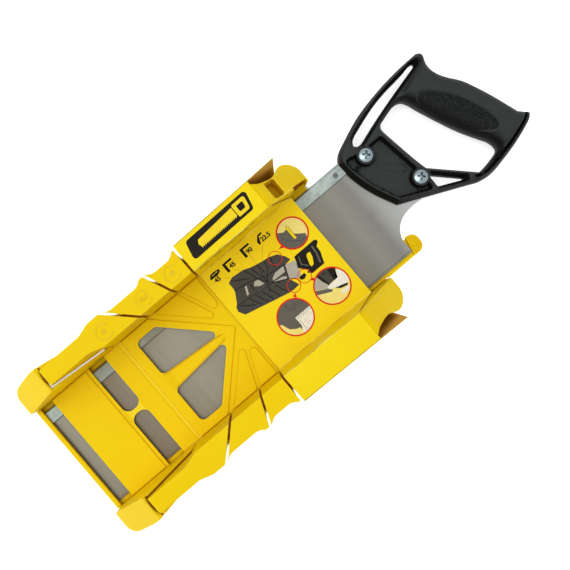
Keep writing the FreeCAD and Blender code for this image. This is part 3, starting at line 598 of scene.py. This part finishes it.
def oval_radius(points):
    """1 on the edge of the grained grip patch, less inside it."""
    d = points - OVAL_CENTRE
    c, s = math.cos(OVAL_TURN), math.sin(OVAL_TURN)
    u = (d[:, 0] * c + d[:, 1] * s) / OVAL_HALF[0]
    v = (-d[:, 0] * s + d[:, 1] * c) / OVAL_HALF[1]
    return np.sqrt(u * u + v * v)


def segment_distance(points, a, b):
    """Distance of many points to one straight stretch."""
    a, b = np.array(a, float), np.array(b, float)
    t = np.clip(((points - a) @ (b - a)) / ((b - a) @ (b - a)), 0, 1)
    return np.linalg.norm(points - (a + t[:, None] * (b - a)), axis=1)


def handle_height(points, edge_gap):
    """Half thickness of the handle at each plan point; edge_gap is its distance to the outline."""
    panel = rounded_loop(PANEL, 1.0)
    grip = rounded_loop(GRIP, 1.0)
    panel_in = distance(points, [panel]) * np.where(inside(points, [panel]), 1, -1)
    grip_in = distance(points, [grip]) * np.where(inside(points, [grip]), 1, -1)
    # rim and bars are ridges: low at their edges, a narrow flat on top
    ridge = 3.5 + (RIM_HALF - 3.5) * np.clip(edge_gap / 3.3, 0, 1)
    height = np.minimum(ridge, RIM_HALF - (RIM_HALF - WEB_HALF) * smoothstep(-0.3, 2.2, panel_in))
    for a, b in RIBS:
        rib = WEB_HALF + 2.4 - 2.4 * smoothstep(0.4, 1.6, segment_distance(points, a, b))
        height = np.where(panel_in > -0.3, np.maximum(height, rib), height)
    # the raised plaque beside the finger hole
    plaque = segment_distance(points, *PLAQUE)
    height = np.where(panel_in > 0.5, height + 0.7 * np.exp(-((plaque - 3.2) / 0.5) ** 2), height)
    # rounded grip
    into = np.clip(edge_gap / 12.5, 0, 1)
    round_grip = 1.2 + (HANDLE_HALF - 1.2) * np.sqrt(1 - (1 - into) ** 2.2)
    sides = smoothstep(-5, 3.5, grip_in)
    height = height * (1 - sides) + round_grip * sides
    # a flat lip runs round the toe, set off from the grip by a groove
    lip_gap = np.min([segment_distance(points, a, b) for a, b in zip(TOE_LIP, TOE_LIP[1:])], axis=0)
    lip_zone = smoothstep(6.6, 5.4, lip_gap) * smoothstep(244, 252, points[:, 0])
    groove = 4.0 * np.exp(-((lip_gap - 4.9) / 0.9) ** 2)
    lip_height = 4.0 + 4.6 * np.clip(edge_gap / 1.6, 0, 1) - groove
    height = height * (1 - lip_zone) + lip_height * lip_zone
    oval = oval_radius(points)
    height = height - 0.5 * smoothstep(1.0, 0.96, oval) + 0.35 * np.exp(-((oval - 1.03) / 0.025) ** 2)
    for x, y in SCREWS:
        r = np.hypot(points[:, 0] - x, points[:, 1] - y)
        boss = smoothstep(BOSS_R + 0.5, BOSS_R - 0.6, r)
        height = np.maximum(height, WEB_HALF + (BOSS_HALF - WEB_HALF) * boss)
        height = np.where(r < SEAT_R + 0.01, BOSS_HALF - SEAT_DEPTH, height)
    corner = 0.8
    lip = np.clip(corner - edge_gap, 0, corner)
    return height - (corner - np.sqrt(corner ** 2 - lip ** 2)) * (1 - sides)


def build_handle():
    """Height-field mould of the handle, the same on both faces, with its openings and screw holes."""
    step, screw_step, panel_step = 1.0, 0.9, 0.9
    outline = [loop(HANDLE_OUTER, step), loop(FINGER_HOLE, step), loop(TOP_SLOT, step),
               rounded_loop(GUARD_HOLE, 0.5)] + [circle_loop(x, y, HOLE_R, screw_step) for x, y in SCREWS]
    # rows of points follow every outline, the screw seats, the panel and the grip patch
    extra = []
    for offset in (0.25, 0.6, 1.1, 1.8, 2.7, 3.3):
        for ring in outline:
            for sign in (1, -1):
                moved = ring + normals(ring) * sign * offset
                moved = moved[inside(moved, outline)]
                if len(moved):
                    moved = moved[distance(moved, outline) > offset * 0.93]
                extra.append(moved)
    for x, y in SCREWS:
        for radius in (SEAT_R - 0.12, SEAT_R + 0.12, BOSS_R - 0.5, BOSS_R + 0.1, BOSS_R + 0.6):
            extra.append(circle_loop(x, y, radius, screw_step))
    panel = rounded_loop(PANEL, panel_step)
    for offset in (-0.4, 0.6, 1.5):
        extra += [panel + normals(panel) * offset, panel - normals(panel) * offset]
    for scale in (0.95, 1.0, 1.03):
        angles = np.linspace(0, 2 * math.pi, 130, endpoint=False)
        c, s = math.cos(OVAL_TURN), math.sin(OVAL_TURN)
        u, v = OVAL_HALF[0] * scale * np.cos(angles), OVAL_HALF[1] * scale * np.sin(angles)
        extra.append(OVAL_CENTRE + np.stack([u * c - v * s, u * s + v * c], 1))
    # and a grid of even triangles fills the rest
    grid = 1.15
    low, high = outline[0].min(0), outline[0].max(0)
    xs, ys = np.meshgrid(np.arange(low[0], high[0], grid), np.arange(low[1], high[1], grid * 0.866))
    xs = xs + (np.arange(xs.shape[0]) % 2)[:, None] * grid / 2
    extra.append(np.stack([xs.ravel(), ys.ravel()], 1))
    fill = np.concatenate(extra)
    fill = fill[inside(fill, outline)]
    fill = fill[distance(fill, outline) > 0.2]
    # thin out points that crowd each other
    crowded = 0.42
    keep = np.unique(np.round(fill / crowded).astype(int), axis=0, return_index=True)[1]
    plan, triangles = triangulate(outline, [fill[np.sort(keep)]], 1e-7)
    height = handle_height(plan, distance(plan, outline))
    points = [(x, y, BLADE_Z + h) for (x, y), h in zip(plan, height)]
    points += [(x, y, BLADE_Z - h) for (x, y), h in zip(plan, height)]
    faces = two_sided(triangles, len(plan))
    grained = (oval_radius(plan[triangles].mean(1)) < 0.96).astype(int)
    kinds = list(grained) * 2 + [0] * (len(faces) - 2 * len(triangles))
    handle = mesh_object("handle_moulding", points, faces, [BLACK, BLACK_GRIP], kinds)
    mend(handle, 1e-6)
    sharpen(handle, 38)
    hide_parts("handle")
    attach(handle, "saw")


# ---- the sleeve ----
SLEEVE_X = (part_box("sleeve_front")[0].x / MM - CUT_X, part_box("sleeve_front")[1].x / MM - CUT_X)
FLAP_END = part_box("sleeve_left_flap")[1].x / MM - CUT_X
FRONT_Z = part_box("sleeve_front")[1].z / MM
FLAP_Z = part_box("sleeve_left_flap")[1].z / MM
IN_Y = -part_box("sleeve_right_inner")[1].y / MM
TOP_Y = (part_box("sleeve_left_flap")[1].y / MM - 1.6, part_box("sleeve_left_side")[1].y / MM)
FOOT_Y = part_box("sleeve_floor")[1].y / MM
CARD_T, FOLD_R, SIDE_LEAN = 0.5, 0.9, 4.5
EDGE_DROP, EDGE_RISE = 27.0, 25.5     # slope of the inner panel's edge beside the ear
FOLD_POINTS = 6                       # points round each fold
TOP_LAST = 3 * FOLD_POINTS            # last path point of the fold between flap and side


def sleeve_half_top(x):
    """Half width of the card across the flaps."""
    t = (x - SLEEVE_X[0]) / (SLEEVE_X[1] - SLEEVE_X[0])
    return TOP_Y[0] + t * (TOP_Y[1] - TOP_Y[0])


def card_path(x):
    """Printed face of the card in (y, z) for one x, from one floor edge round to the other."""
    half = sleeve_half_top(x)
    corners = [(0.0, FRONT_Z), (IN_Y, FRONT_Z), (IN_Y, FLAP_Z), (half, FLAP_Z), (FOOT_Y, 0.0), (0.0, 0.0)]
    points = [np.array(corners[0])]
    for i in range(1, 5):
        here, back, ahead = (np.array(corners[k], float) for k in (i, i - 1, i + 1))
        a, b = (back - here) / np.linalg.norm(back - here), (ahead - here) / np.linalg.norm(ahead - here)
        for t in np.linspace(0, 1, FOLD_POINTS):
            points.append(here + a * FOLD_R * (1 - t) ** 2 + b * FOLD_R * t ** 2)
    points.append(np.array(corners[5]))
    return points


def card_end(z, panel):
    """Handle-end edge of the card for a point of the path."""
    if panel == "flap":
        return FLAP_END
    if panel == "inner":
        t = np.clip((z - (WALL_Z - EDGE_DROP)) / EDGE_RISE, 0, 1)
        return SLEEVE_X[1] + (FLAP_END - SLEEVE_X[1]) * t
    return SLEEVE_X[1] + SIDE_LEAN * (1 - z / FLAP_Z)


def build_sleeve():
    """One folded card: printed outside, brown inside and on its cut edges."""
    parts = 40
    sample = card_path(0.0)
    count = len(sample)
    points, faces, kinds = [], [], []

    def panel_of(k):
        y, z = sample[k]
        if k <= TOP_LAST and z > FLAP_Z - 1e-6 and y > IN_Y:
            return "flap"
        return "inner" if k <= TOP_LAST and z >= FRONT_Z - 1e-6 and y <= IN_Y + 0.01 else "side"

    def strip_kind(k):
        """Material of the strip after path point k: the inner folds show cracked coat, the outer one has
        painted shade.
        """
        fold, step = divmod(k - 1, FOLD_POINTS)
        return 0 if step == FOLD_POINTS - 1 else (2, 2, 3, 0)[fold]

    def sheet_of(i, k, side):
        """Printed and brown point of the card, i rows along the box at path point k."""
        end = card_end(sample[k][1], panel_of(k))
        x = SLEEVE_X[0] + (end - SLEEVE_X[0]) * i / parts
        path = card_path(x)
        here = path[k]
        before, after = path[max(k - 1, 0)], path[min(k + 1, count - 1)]
        way = (after - before) / np.linalg.norm(after - before)
        inward = np.array((way[1], -way[0]))
        if k in (0, count - 1):
            inward = np.array((0.0, -1.0 if k == 0 else 1.0))
        back = here + inward * CARD_T
        return [(x, side * here[0], here[1]), (x, side * back[0], back[1])]

    def half_sheet(first, last, side):
        """Closed thin sheet over path points first to last, on one side of the object."""
        start, rows, columns = len(points), parts + 1, last - first + 1
        for i in range(rows):
            for j in range(columns):
                points.extend(sheet_of(i, first + j, side))

        def at(i, j, face):
            return start + 2 * (i * columns + j) + face

        for i in range(rows - 1):
            for j in range(columns - 1):
                faces.append((at(i, j, 0), at(i + 1, j, 0), at(i + 1, j + 1, 0), at(i, j + 1, 0)))
                faces.append((at(i, j + 1, 1), at(i + 1, j + 1, 1), at(i + 1, j, 1), at(i, j, 1)))
                kinds.extend((strip_kind(first + j), 1))
        border = [(i, 0) for i in range(rows - 1)] + [(rows - 1, j) for j in range(columns - 1)]
        border += [(i, columns - 1) for i in range(rows - 1, 0, -1)]
        border += [(0, j) for j in range(columns - 1, 0, -1)]
        for (i, j), (k, m) in zip(border, border[1:] + border[:1]):
            faces.append((at(i, j, 0), at(i, j, 1), at(k, m, 1), at(k, m, 0)))
            kinds.append(1)

    for side in (1, -1):
        half_sheet(0, TOP_LAST, side)
        half_sheet(TOP_LAST, count - 1, side)
    card = mesh_object("sleeve_card", points, faces, [CARD, CARD_BACK, FOLD_WORN, FOLD_SHADE], kinds)
    mend(card, 2e-6)
    sharpen(card, 50)
    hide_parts(*[n for n in nodes if n.startswith("sleeve_")])
    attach(card, "sleeve")


# ---- the print on the card and the marks on the box ----
class Artwork:
    """Flat inked shapes gathered into one thin mesh; a higher layer lies over a lower one."""
    INKS = [INK_DARK, INK_BLACK, INK_RED, INK_PALE, INK_GREY, INK_WHITE, INK_YELLOW, INK_OCHRE, INK_STONE]

    def __init__(self, name, lift):
        self.name, self.lift = name, lift
        self.points, self.faces, self.kinds = [], [], []

    def shape(self, ink, layer, *rings):
        """Filled outline; further rings are holes in it."""
        plan, triangles = triangulate([np.array(ring, float) for ring in rings], [], 1e-6)
        fresh = two_sided(triangles, len(plan), len(self.points))
        for rise in (0.04 + 0.035 * layer, 0.01):
            self.points += [self.lift(x, y, rise) for x, y in plan]
        self.faces += fresh
        self.kinds += [self.INKS.index(ink)] * len(fresh)

    def line(self, ink, layer, width, *path):
        """Stroke of even width along a path."""
        path = np.array(path, float)
        way = np.gradient(path, axis=0)
        side = np.stack([-way[:, 1], way[:, 0]], 1) / np.linalg.norm(way, axis=1)[:, None] * width / 2
        self.shape(ink, layer, np.concatenate([path + side, (path - side)[::-1]]))

    def ring(self, ink, layer, x, y, radius, width):
        self.shape(ink, layer, circle_loop(x, y, radius, 0.7), circle_loop(x, y, radius - width, 0.7))

    def close_up(self, ink, x, y, radius, rim, width, *patches):
        """Round picture in a red ring: a disc of ink under patches (ink, layer, outline) clipped to it."""
        self.shape(ink, 0, circle_loop(x, y, radius, 0.7))
        for patch_ink, layer, outline in patches:
            self.shape(patch_ink, layer, clipped(outline, x, y, radius))
        self.ring(INK_RED, 5, x, y, radius + rim, width)

    def finish(self, body):
        piece = mesh_object(self.name, self.points, self.faces, self.INKS, self.kinds, smooth=False)
        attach(piece, body)
        return piece


def clipped(points, x, y, radius):
    """Closed polygon with its outlying stretches pulled in to a circle."""
    ring = loop([[a, b] for a, b in zip(points, points[1:] + points[:1])], 0.8)
    away = ring - (x, y)
    far = np.maximum(np.linalg.norm(away, axis=1), 1e-6)
    ring = np.array((x, y)) + away * np.minimum(1, radius / far)[:, None]
    keep = [0]
    for i in range(1, len(ring)):
        if np.linalg.norm(ring[i] - ring[keep[-1]]) > 0.25:
            keep.append(i)
    return ring[keep]


def number(name, text, x, y, z, size, weight, depth, material, body):
    """Plain numerals standing depth millimetres proud of z, each stroke widened by weight."""
    curve = bpy.data.curves.new(name + "_curve", "FONT")
    curve.body, curve.size, curve.extrude = text, size * MM, depth * MM / 2
    curve.offset = weight * MM
    curve.align_x, curve.align_y = "CENTER", "CENTER"
    holder = bpy.data.objects.new(name + "_holder", curve)
    bpy.context.scene.collection.objects.link(holder)
    bpy.context.view_layer.update()
    mesh = bpy.data.meshes.new_from_object(holder.evaluated_get(bpy.context.evaluated_depsgraph_get()))
    bpy.data.objects.remove(holder)
    bpy.data.curves.remove(curve)
    shift = place(x, y, z + depth / 2)
    for vertex in mesh.vertices:
        vertex.co += shift
    mesh.materials.clear()
    mesh.materials.append(material)
    piece = bpy.data.objects.new(name, mesh)
    bpy.context.scene.collection.objects.link(piece)
    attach(piece, body)


def draw_front():
    """Panel of pictures: four cut symbols, the box drawn in outline and three round close-ups."""
    art = Artwork("sleeve_art_front", lambda x, y, h: (x, y, FRONT_Z + h))
    # cut symbols
    art.shape(INK_BLACK, 0, [(6.1, 46.1), (8.5, 49.3), (12, 49.8), (18.3, 49), (17.8, 46.4), (14.4, 45),
                             (6.7, 45.4)])
    art.line(INK_YELLOW, 1, 0.5, (9.2, 47.7), (15.8, 47.9))
    for x in (22.6, 43.1):
        art.shape(INK_BLACK, 0, [(x, 49.8), (x, 40.4), (x + 2.7, 40.4), (x + 2.7, 47.9), (x + 10.2, 47.9),
                                 (x + 10.2, 49.8)])
    art.shape(INK_BLACK, 0, [(60, 41.4), (61.8, 41.4), (64.4, 47.6), (68.3, 48.1), (68.3, 49.8), (63.9, 49.4),
                             (60, 44.8)])
    for path in (((16.7, 39.8), (20.6, 35.9)), ((29.1, 39), (32.8, 34.2)), ((47.6, 39.8), (47.2, 30.5)),
                 ((62.2, 39.2), (53, 29.8))):
        art.line(INK_OCHRE, 0, 0.35, *path)
    # the box
    art.shape(INK_DARK, 1, [
        (16.7, 33.1), (22.2, 35.3), (34.4, 33.9), (41.1, 31.2), (52.2, 28.7), (58.9, 27.9), (66.7, 24.8),
        (71.1, 18.7), (72.8, 13.7), (66.7, 12.9), (62.2, 4.8), (60.6, 1.4), (64.4, -8.6), (58.9, -9.1),
        (53.3, -8.6), (38.9, -5.2), (10, 2), (6.7, 8.1), (7.8, 12), (11.1, 15.3), (16.7, 24.8)])
    for ring in ([(25.6, 21.4), (27.6, 21.2), (24.2, 13.7), (22, 13.9)],
                 [(32.2, 16.4), (35, 19.2), (38.9, 18.7), (40.9, 12.2), (36.7, 13.1)],
                 [(49.4, 10.9), (54.4, 13.4), (63.3, 13.4), (63.9, 12.6), (61.7, 8.3), (48.9, 9)],
                 [(48.3, 8.1), (57.8, 6.4), (60.6, 3.9), (58.9, 2.8)]):
        art.shape(INK_GREY, 2, ring)
    art.line(INK_STONE, 2, 0.5, (26.7, 11.2), (40, 9.8))
    art.line(INK_BLACK, 2, 0.7, (16.2, 25), (34, 21.5), (47, 16.5), (66, 13.4))
    art.line(INK_BLACK, 2, 0.7, (11, 12.3), (29, 10.6), (46, 8.2), (60, 1.6))
    for path in (((19, 33.6), (33, 24.5)), ((34.8, 33), (38.2, 22)), ((40.6, 30.8), (42.6, 20.4)),
                 ((46.8, 29.4), (47.4, 19.6)), ((53.6, 28), (52.2, 19.6)), ((60, 27), (57.4, 17.4)),
                 ((10.4, 11.6), (23, 2.4)), ((22, 10.6), (27, -0.6)), ((28.4, 9.6), (33, -2.4)),
                 ((34.8, 8), (38.6, -3.6)), ((41.2, 6.4), (44.6, -5)), ((47.4, 5), (52, -6.4)),
                 ((44, 12), (37, 23)), ((44, 12), (44.6, 22)), ((44, 12), (51, 20)), ((44, 12), (40, 3)),
                 ((44, 12), (52, 4)), ((30.6, 20.4), (30.8, 13.4))):
        art.line(INK_BLACK, 3, 0.8, *path)
    # its saw
    art.shape(INK_GREY, 2, [(65.6, 13.1), (75.4, 10.9), (72.8, 1.4), (71.1, -3.6), (66.7, -3), (60.6, 1.4),
                            (62.2, 4.8)])
    art.line(INK_BLACK, 3, 0.6, (65.6, 13.1), (60.8, 1.4), (66.4, -3))
    art.shape(INK_BLACK, 3, [(68.3, -3.6), (74.4, -3.6), (74.7, -6.3), (71.1, -8), (68, -6.3)])
    art.shape(INK_BLACK, 3, [(76.7, 13.1), (80, 13.4), (100, 13.4), (102, 12), (101.7, 9.8), (98.3, 7.6),
                             (97.8, 1.4), (95, -5.2), (93.9, -8.6), (80, -8.6), (76.7, -5.2), (79.4, -3.8),
                             (73.6, 2.2), (72.8, 3.7), (75.6, 9.2)],
              [(87.2, 8.1), (90.6, 7.6), (89.4, 2.6), (86.1, -3), (83.3, -3.6), (82.8, -1.3), (85.6, 6.4)])
    art.line(INK_STONE, 4, 1.6, (95, 10.6), (94.4, 3), (91.6, -5.8))
    art.line(INK_STONE, 4, 1.0, (80, 11), (77.4, 4), (81.4, -1))
    for x, y in ((63, 23.4), (60, -6.3), (72.8, -6)):
        art.ring(INK_RED, 5, x, y, 6.5, 0.6)
    # the pencil in its hole
    art.close_up(INK_PALE, 89.4, 30.6, 13.9, 1.1, 1.4, (
        INK_STONE, 1, [(76, 42), (80, 38.4), (83.9, 35.9), (87, 36.6), (88.9, 30.3), (93.5, 26.4),
                       (98.3, 23.1), (97, 16), (88, 14), (72, 16), (70, 34)]))
    art.line(INK_DARK, 2, 0.5, (79, 33), (84, 25), (91, 20.6), (96, 19.8))
    art.shape(INK_YELLOW, 3, [(87.1, 25.2), (89.9, 24.8), (90, 36.6), (88.6, 39.8), (87.2, 36.6)])
    art.line(INK_BLACK, 4, 0.3, (87.1, 25.2), (87.2, 36.6), (88.6, 39.8), (90, 36.6), (89.9, 24.8))
    # a mark beside the work, with dashed edges and hatching
    x, y, r = 42.8, -28.8, 16.3
    art.close_up(INK_STONE, x, y, r, 1.0, 1.3, (
        INK_PALE, 1, [(24, -24), (28.8, -26.3), (31.7, -34.1), (36.7, -37.4), (40, -38.5), (41, -50),
                      (24, -50)]), (
        INK_WHITE, 2, [(42.2, -29), (64, -29), (64, -50), (39.6, -50), (40.2, -42), (42.2, -38)]))
    dashes = 8
    for path in (((42.2, -13.4), (42.2, -21)), ((42.4, -19.8), (57, -19.8)), ((42.4, -22.2), (58, -22.2)),
                 ((42.6, -29.6), (59, -29.6)), ((43.8, -31), (58.6, -31)), ((43.8, -31), (43.8, -44.4))):
        a, b = np.array(path)
        for k in range(dashes):
            art.line(INK_BLACK, 3, 0.4, a + (b - a) * (k + 0.1) / dashes, a + (b - a) * (k + 0.72) / dashes)
    for i in range(5):
        for k in range(5):
            hx, hy = 46 + i * 2.6 + (k % 2) * 1.2, -33 - k * 2.4
            if math.hypot(hx - x, hy - y) < r - 2.4:
                art.line(INK_GREY, 3, 0.45, (hx, hy), (hx + 1.1, hy + 1.0))
    # the hand on the latch
    art.close_up(INK_PALE, 86.1, -28.8, 16.3, 1.0, 1.3, (
        INK_GREY, 1, [(68, -14), (80, -12), (83.6, -18), (84.6, -26), (81.7, -28.6), (70, -21)]), (
        INK_DARK, 2, [(81.7, -10), (102, -10), (98, -19), (93.9, -25.8), (84.8, -26.2)]), (
        INK_BLACK, 3, [(80, -13), (82.4, -12), (85.4, -25.6), (84.2, -26.8), (81.6, -20)]), (
        INK_BLACK, 3, [(91.8, -14.6), (98.6, -16), (94.8, -26), (90.6, -26.2)]), (
        INK_STONE, 2, [(68, -21), (72.2, -23), (81.7, -28.6), (84.6, -31.6), (82.2, -32.6), (68, -25.4)]), (
        INK_WHITE, 3, [(81.7, -26.9), (92.2, -26.3), (95, -21.8), (98, -20), (104, -24), (104, -34),
                       (98.8, -35.2), (92, -34), (87, -31.4), (82.4, -30)]))
    art.line(INK_BLACK, 3, 0.7, (85.4, -14.6), (87.2, -16), (88.8, -14.6))
    art.shape(INK_BLACK, 4, [(86.4, -31.8), (93, -33.4), (99, -35.6), (97, -37), (91, -35.4)])
    art.shape(INK_WHITE, 3, [(88.9, -37.4), (94, -37.8), (98.4, -37), (96.6, -40.6), (90, -40.8),
                             (88.2, -39.2)])
    for ring in ([(70.4, 27.4), (75.6, 28.6), (75.4, 25.4)], [(56.8, -12.2), (53, -13), (54.6, -16.4)],
                 [(74.4, -11.6), (78.4, -11.8), (76.8, -15.4)]):
        art.shape(INK_RED, 6, ring)
    art.finish("sleeve")
    for text, x, y in (("45", 11.4, 42.1), ("45", 29.9, 43.6), ("90", 49.9, 43.6), ("22.5", 68.9, 43.6)):
        name = "sleeve_number_%d" % round(x)
        number(name, text, x, y, FRONT_Z + 0.02, 5.8, 0.22, 0.08, INK_BLACK, "sleeve")


def draw_flap():
    """A dark slanted plaque with a plain saw outline, and dashes for the small print."""
    art = Artwork("sleeve_art_flap", lambda x, y, h: (x, y + (x - 40) * 0.018, FLAP_Z + h))
    art.shape(INK_BLACK, 0, rounded_loop([(7, 62.6, 3), (71, 62.6, 3), (75, 79.2, 3), (11, 79.2, 3)], 0.5))
    teeth = [(57 - 1.9 * (i + k), 67.5 - 1.5 * k) for i in range(21) for k in (0, 1)]
    art.shape(INK_YELLOW, 1, [(18, 70.6), (20, 73.6), (57, 75.4), (57, 67.5)] + teeth[1:-1])
    art.shape(INK_YELLOW, 1,
              rounded_loop([(57.8, 65, 1), (69, 65, 2.2), (71.4, 76.6, 2), (57.8, 76.6, 1.5)], 0.5),
              rounded_loop([(61, 68, 0.8), (66.6, 68, 1.2), (67.8, 73.8, 1.2), (61, 73.8, 0.8)], 0.4))
    art.finish("sleeve")
    inner = Artwork("sleeve_art_inner", lambda x, z, h: (x, IN_Y - h, z))
    for z, spans in ((66.5, ((6, 15), (17, 30), (32, 41), (44, 58), (60, 66))),
                     (59.5, ((6, 18), (21, 29), (31, 46), (48, 60)))):
        for x0, x1 in spans:
            inner.line(INK_DARK, 0, 2.4, (x1, z), (x0, z))
    inner.finish("sleeve")


def raised_marks():
    """Rings with the cutting angles, standing a little proud of the +Y flange."""
    for text, x, y in (("45", -86.4, 65.8), ("22.5", -44.4, 65.8), ("90", -13.6, 66.0)):
        points, faces = [], []
        parts = 72
        for i in range(parts + 1):
            a = math.radians(35 + 290 * i / parts)
            for radius, rise in ((6.4, -0.05), (6.6, 0.3), (7.1, 0.3), (7.3, -0.05)):
                points.append((x + radius * math.cos(a), y + radius * math.sin(a), WALL_Z + rise))
        for i in range(parts):
            for k in range(3):
                faces.append((4 * i + k, 4 * i + k + 4, 4 * i + k + 5, 4 * i + k + 1))
            faces.append((4 * i + 3, 4 * i + 7, 4 * i + 4, 4 * i))
        faces += [(0, 1, 2, 3), (4 * parts + 3, 4 * parts + 2, 4 * parts + 1, 4 * parts)]
        ring = mesh_object("mark_ring_%d" % round(-x), points, faces, [BOX], smooth=False)
        mend(ring)
        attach(ring, "box")
        number("mark_number_%d" % round(-x), text, x, y, WALL_Z - 0.05, 5.0, 0.1, 0.35, BOX, "box")


build_handle()
build_sleeve()
draw_front()
draw_flap()
raised_marks()

# ---- studio ----
# the glow beyond the box is the even backdrop; the stronger brown glow under the box is painted light
FLOOR_GLOW, UNDER_BOX_PAINTED_GLOW, FLOOR_REACH = 0.6, 0.9, 6.0
FOOTPRINT = (-192, 132, -82, 82)        # the box on the floor
# painted light: this floor patch under the +Y wall glows white and shows as a bright line through the bevel
# slot
SLIT_STRIP = (-172, -104, 61.8, 72)     # floor seen through the +Y bevel slot
SAW_LANE = 57                           # half width between the walls
# painted shade: past this stretch the glow between the walls turns near black
LANE_DARKENS = (104, 107)               # where the bed's handle end stops light
floor_mesh = bpy.data.meshes.new("floor")
corners = [(-1, -1), (1, -1), (1, 1), (-1, 1)]
floor_mesh.from_pydata([(x * FLOOR_REACH, y * FLOOR_REACH, 0) for x, y in corners], [], [(0, 1, 2, 3)])
floor = bpy.data.objects.new("floor", floor_mesh)
floor.location.z = -0.0002
bpy.context.scene.collection.objects.link(floor)
white = Finish("floor_white", (0.9, 0.9, 0.9, 1), 0.9, specular=0.1)


def outside(x0, x1, y0, y1, soft):
    """0 over a rectangle of the floor, 1 beyond it."""
    x_edges = white.maths("MAXIMUM", white.along("X", x1 - soft, x1), white.along("X", x0 + soft, x0))
    y_edges = white.maths("MAXIMUM", white.along("Y", y1 - soft, y1), white.along("Y", y0 + soft, y0))
    return white.maths("MAXIMUM", x_edges, y_edges)


# bright beyond the box, the even backdrop; and, as painted light, in the strip that shows through the +Y
# bevel slot as a bright line
strip = white.maths("SUBTRACT", 1.0, outside(*SLIT_STRIP, 0.5))
clear = white.maths("MAXIMUM", outside(*FOOTPRINT, 3), strip)
# painted light: under the box the floor glows brown, so the slots show brown as if lit through the yellow
# walls; between the walls past the bed's handle end the glow is painted shade, near black
lane = white.maths("SUBTRACT", 1.0, outside(-400, 400, -SAW_LANE, SAW_LANE, 1))
painted_shade_mask = white.maths("MINIMUM", white.along("X", *LANE_DARKENS), lane)
painted_glow_colour = white.mix(painted_shade_mask, srgb(118, 62, 12), srgb(30, 20, 4))
white.link(white.mix(clear, painted_glow_colour, (1, 1, 1, 1)), white.shader.inputs["Emission Color"])
# painted shade: under the box the floor's own colour is brown rather than white
white.tint(white.mix(clear, srgb(90, 60, 30), (0.9, 0.9, 0.9, 1)))
white.link(white.remap(clear, 0.0, 1.0, UNDER_BOX_PAINTED_GLOW, FLOOR_GLOW), white.shader.inputs["Emission Strength"])
floor_mesh.materials.append(white.material)


def area_light(name, position, target, size, watts):
    """Round soft light, metres and watts, aimed at a point."""
    light = bpy.data.lights.new(name, "AREA")
    light.shape = "DISK"
    light.size = size
    light.energy = watts
    made = bpy.data.objects.new(name, light)
    made.location = position
    made.rotation_mode = "QUATERNION"
    made.rotation_quaternion = (Vector(target) - Vector(position)).to_track_quat("-Z", "Y")
    bpy.context.scene.collection.objects.link(made)


area_light("key", (-0.9, 0.75, 2.2), (0, 0, 0.03), 2.0, 12.5)
area_light("top", (-0.25, 0.2, 2.4), (-0.05, 0, 0.03), 2.6, 16)

world = bpy.data.worlds.new("studio")
bpy.context.scene.world = world
world.use_nodes = True
world.node_tree.nodes["Background"].inputs["Color"].default_value = (1, 1, 1, 1)
world.node_tree.nodes["Background"].inputs["Strength"].default_value = 0.6
bpy.context.scene.view_settings.view_transform = "Standard"

# ---- camera ----
VIEW_HEIGHT = 548.0                     # above the bed, mm
VIEW_X, VIEW_Y = 10.5, 3.1              # the point straight below the camera
VIEW_TURN = -40.4                       # degrees
LENS = 38.53
camera = bpy.data.objects.new("camera", bpy.data.cameras.new("camera"))
camera.location = place(VIEW_X, VIEW_Y, BED_Z + VIEW_HEIGHT)
camera.rotation_euler = (0, 0, math.radians(VIEW_TURN))
camera.data.lens = LENS
camera.data.sensor_width = 36.0
camera.data.shift_x, camera.data.shift_y = 0.0699, 0.0497
camera.data.clip_start, camera.data.clip_end = 0.01, 20
bpy.context.scene.collection.objects.link(camera)
bpy.context.scene.camera = camera
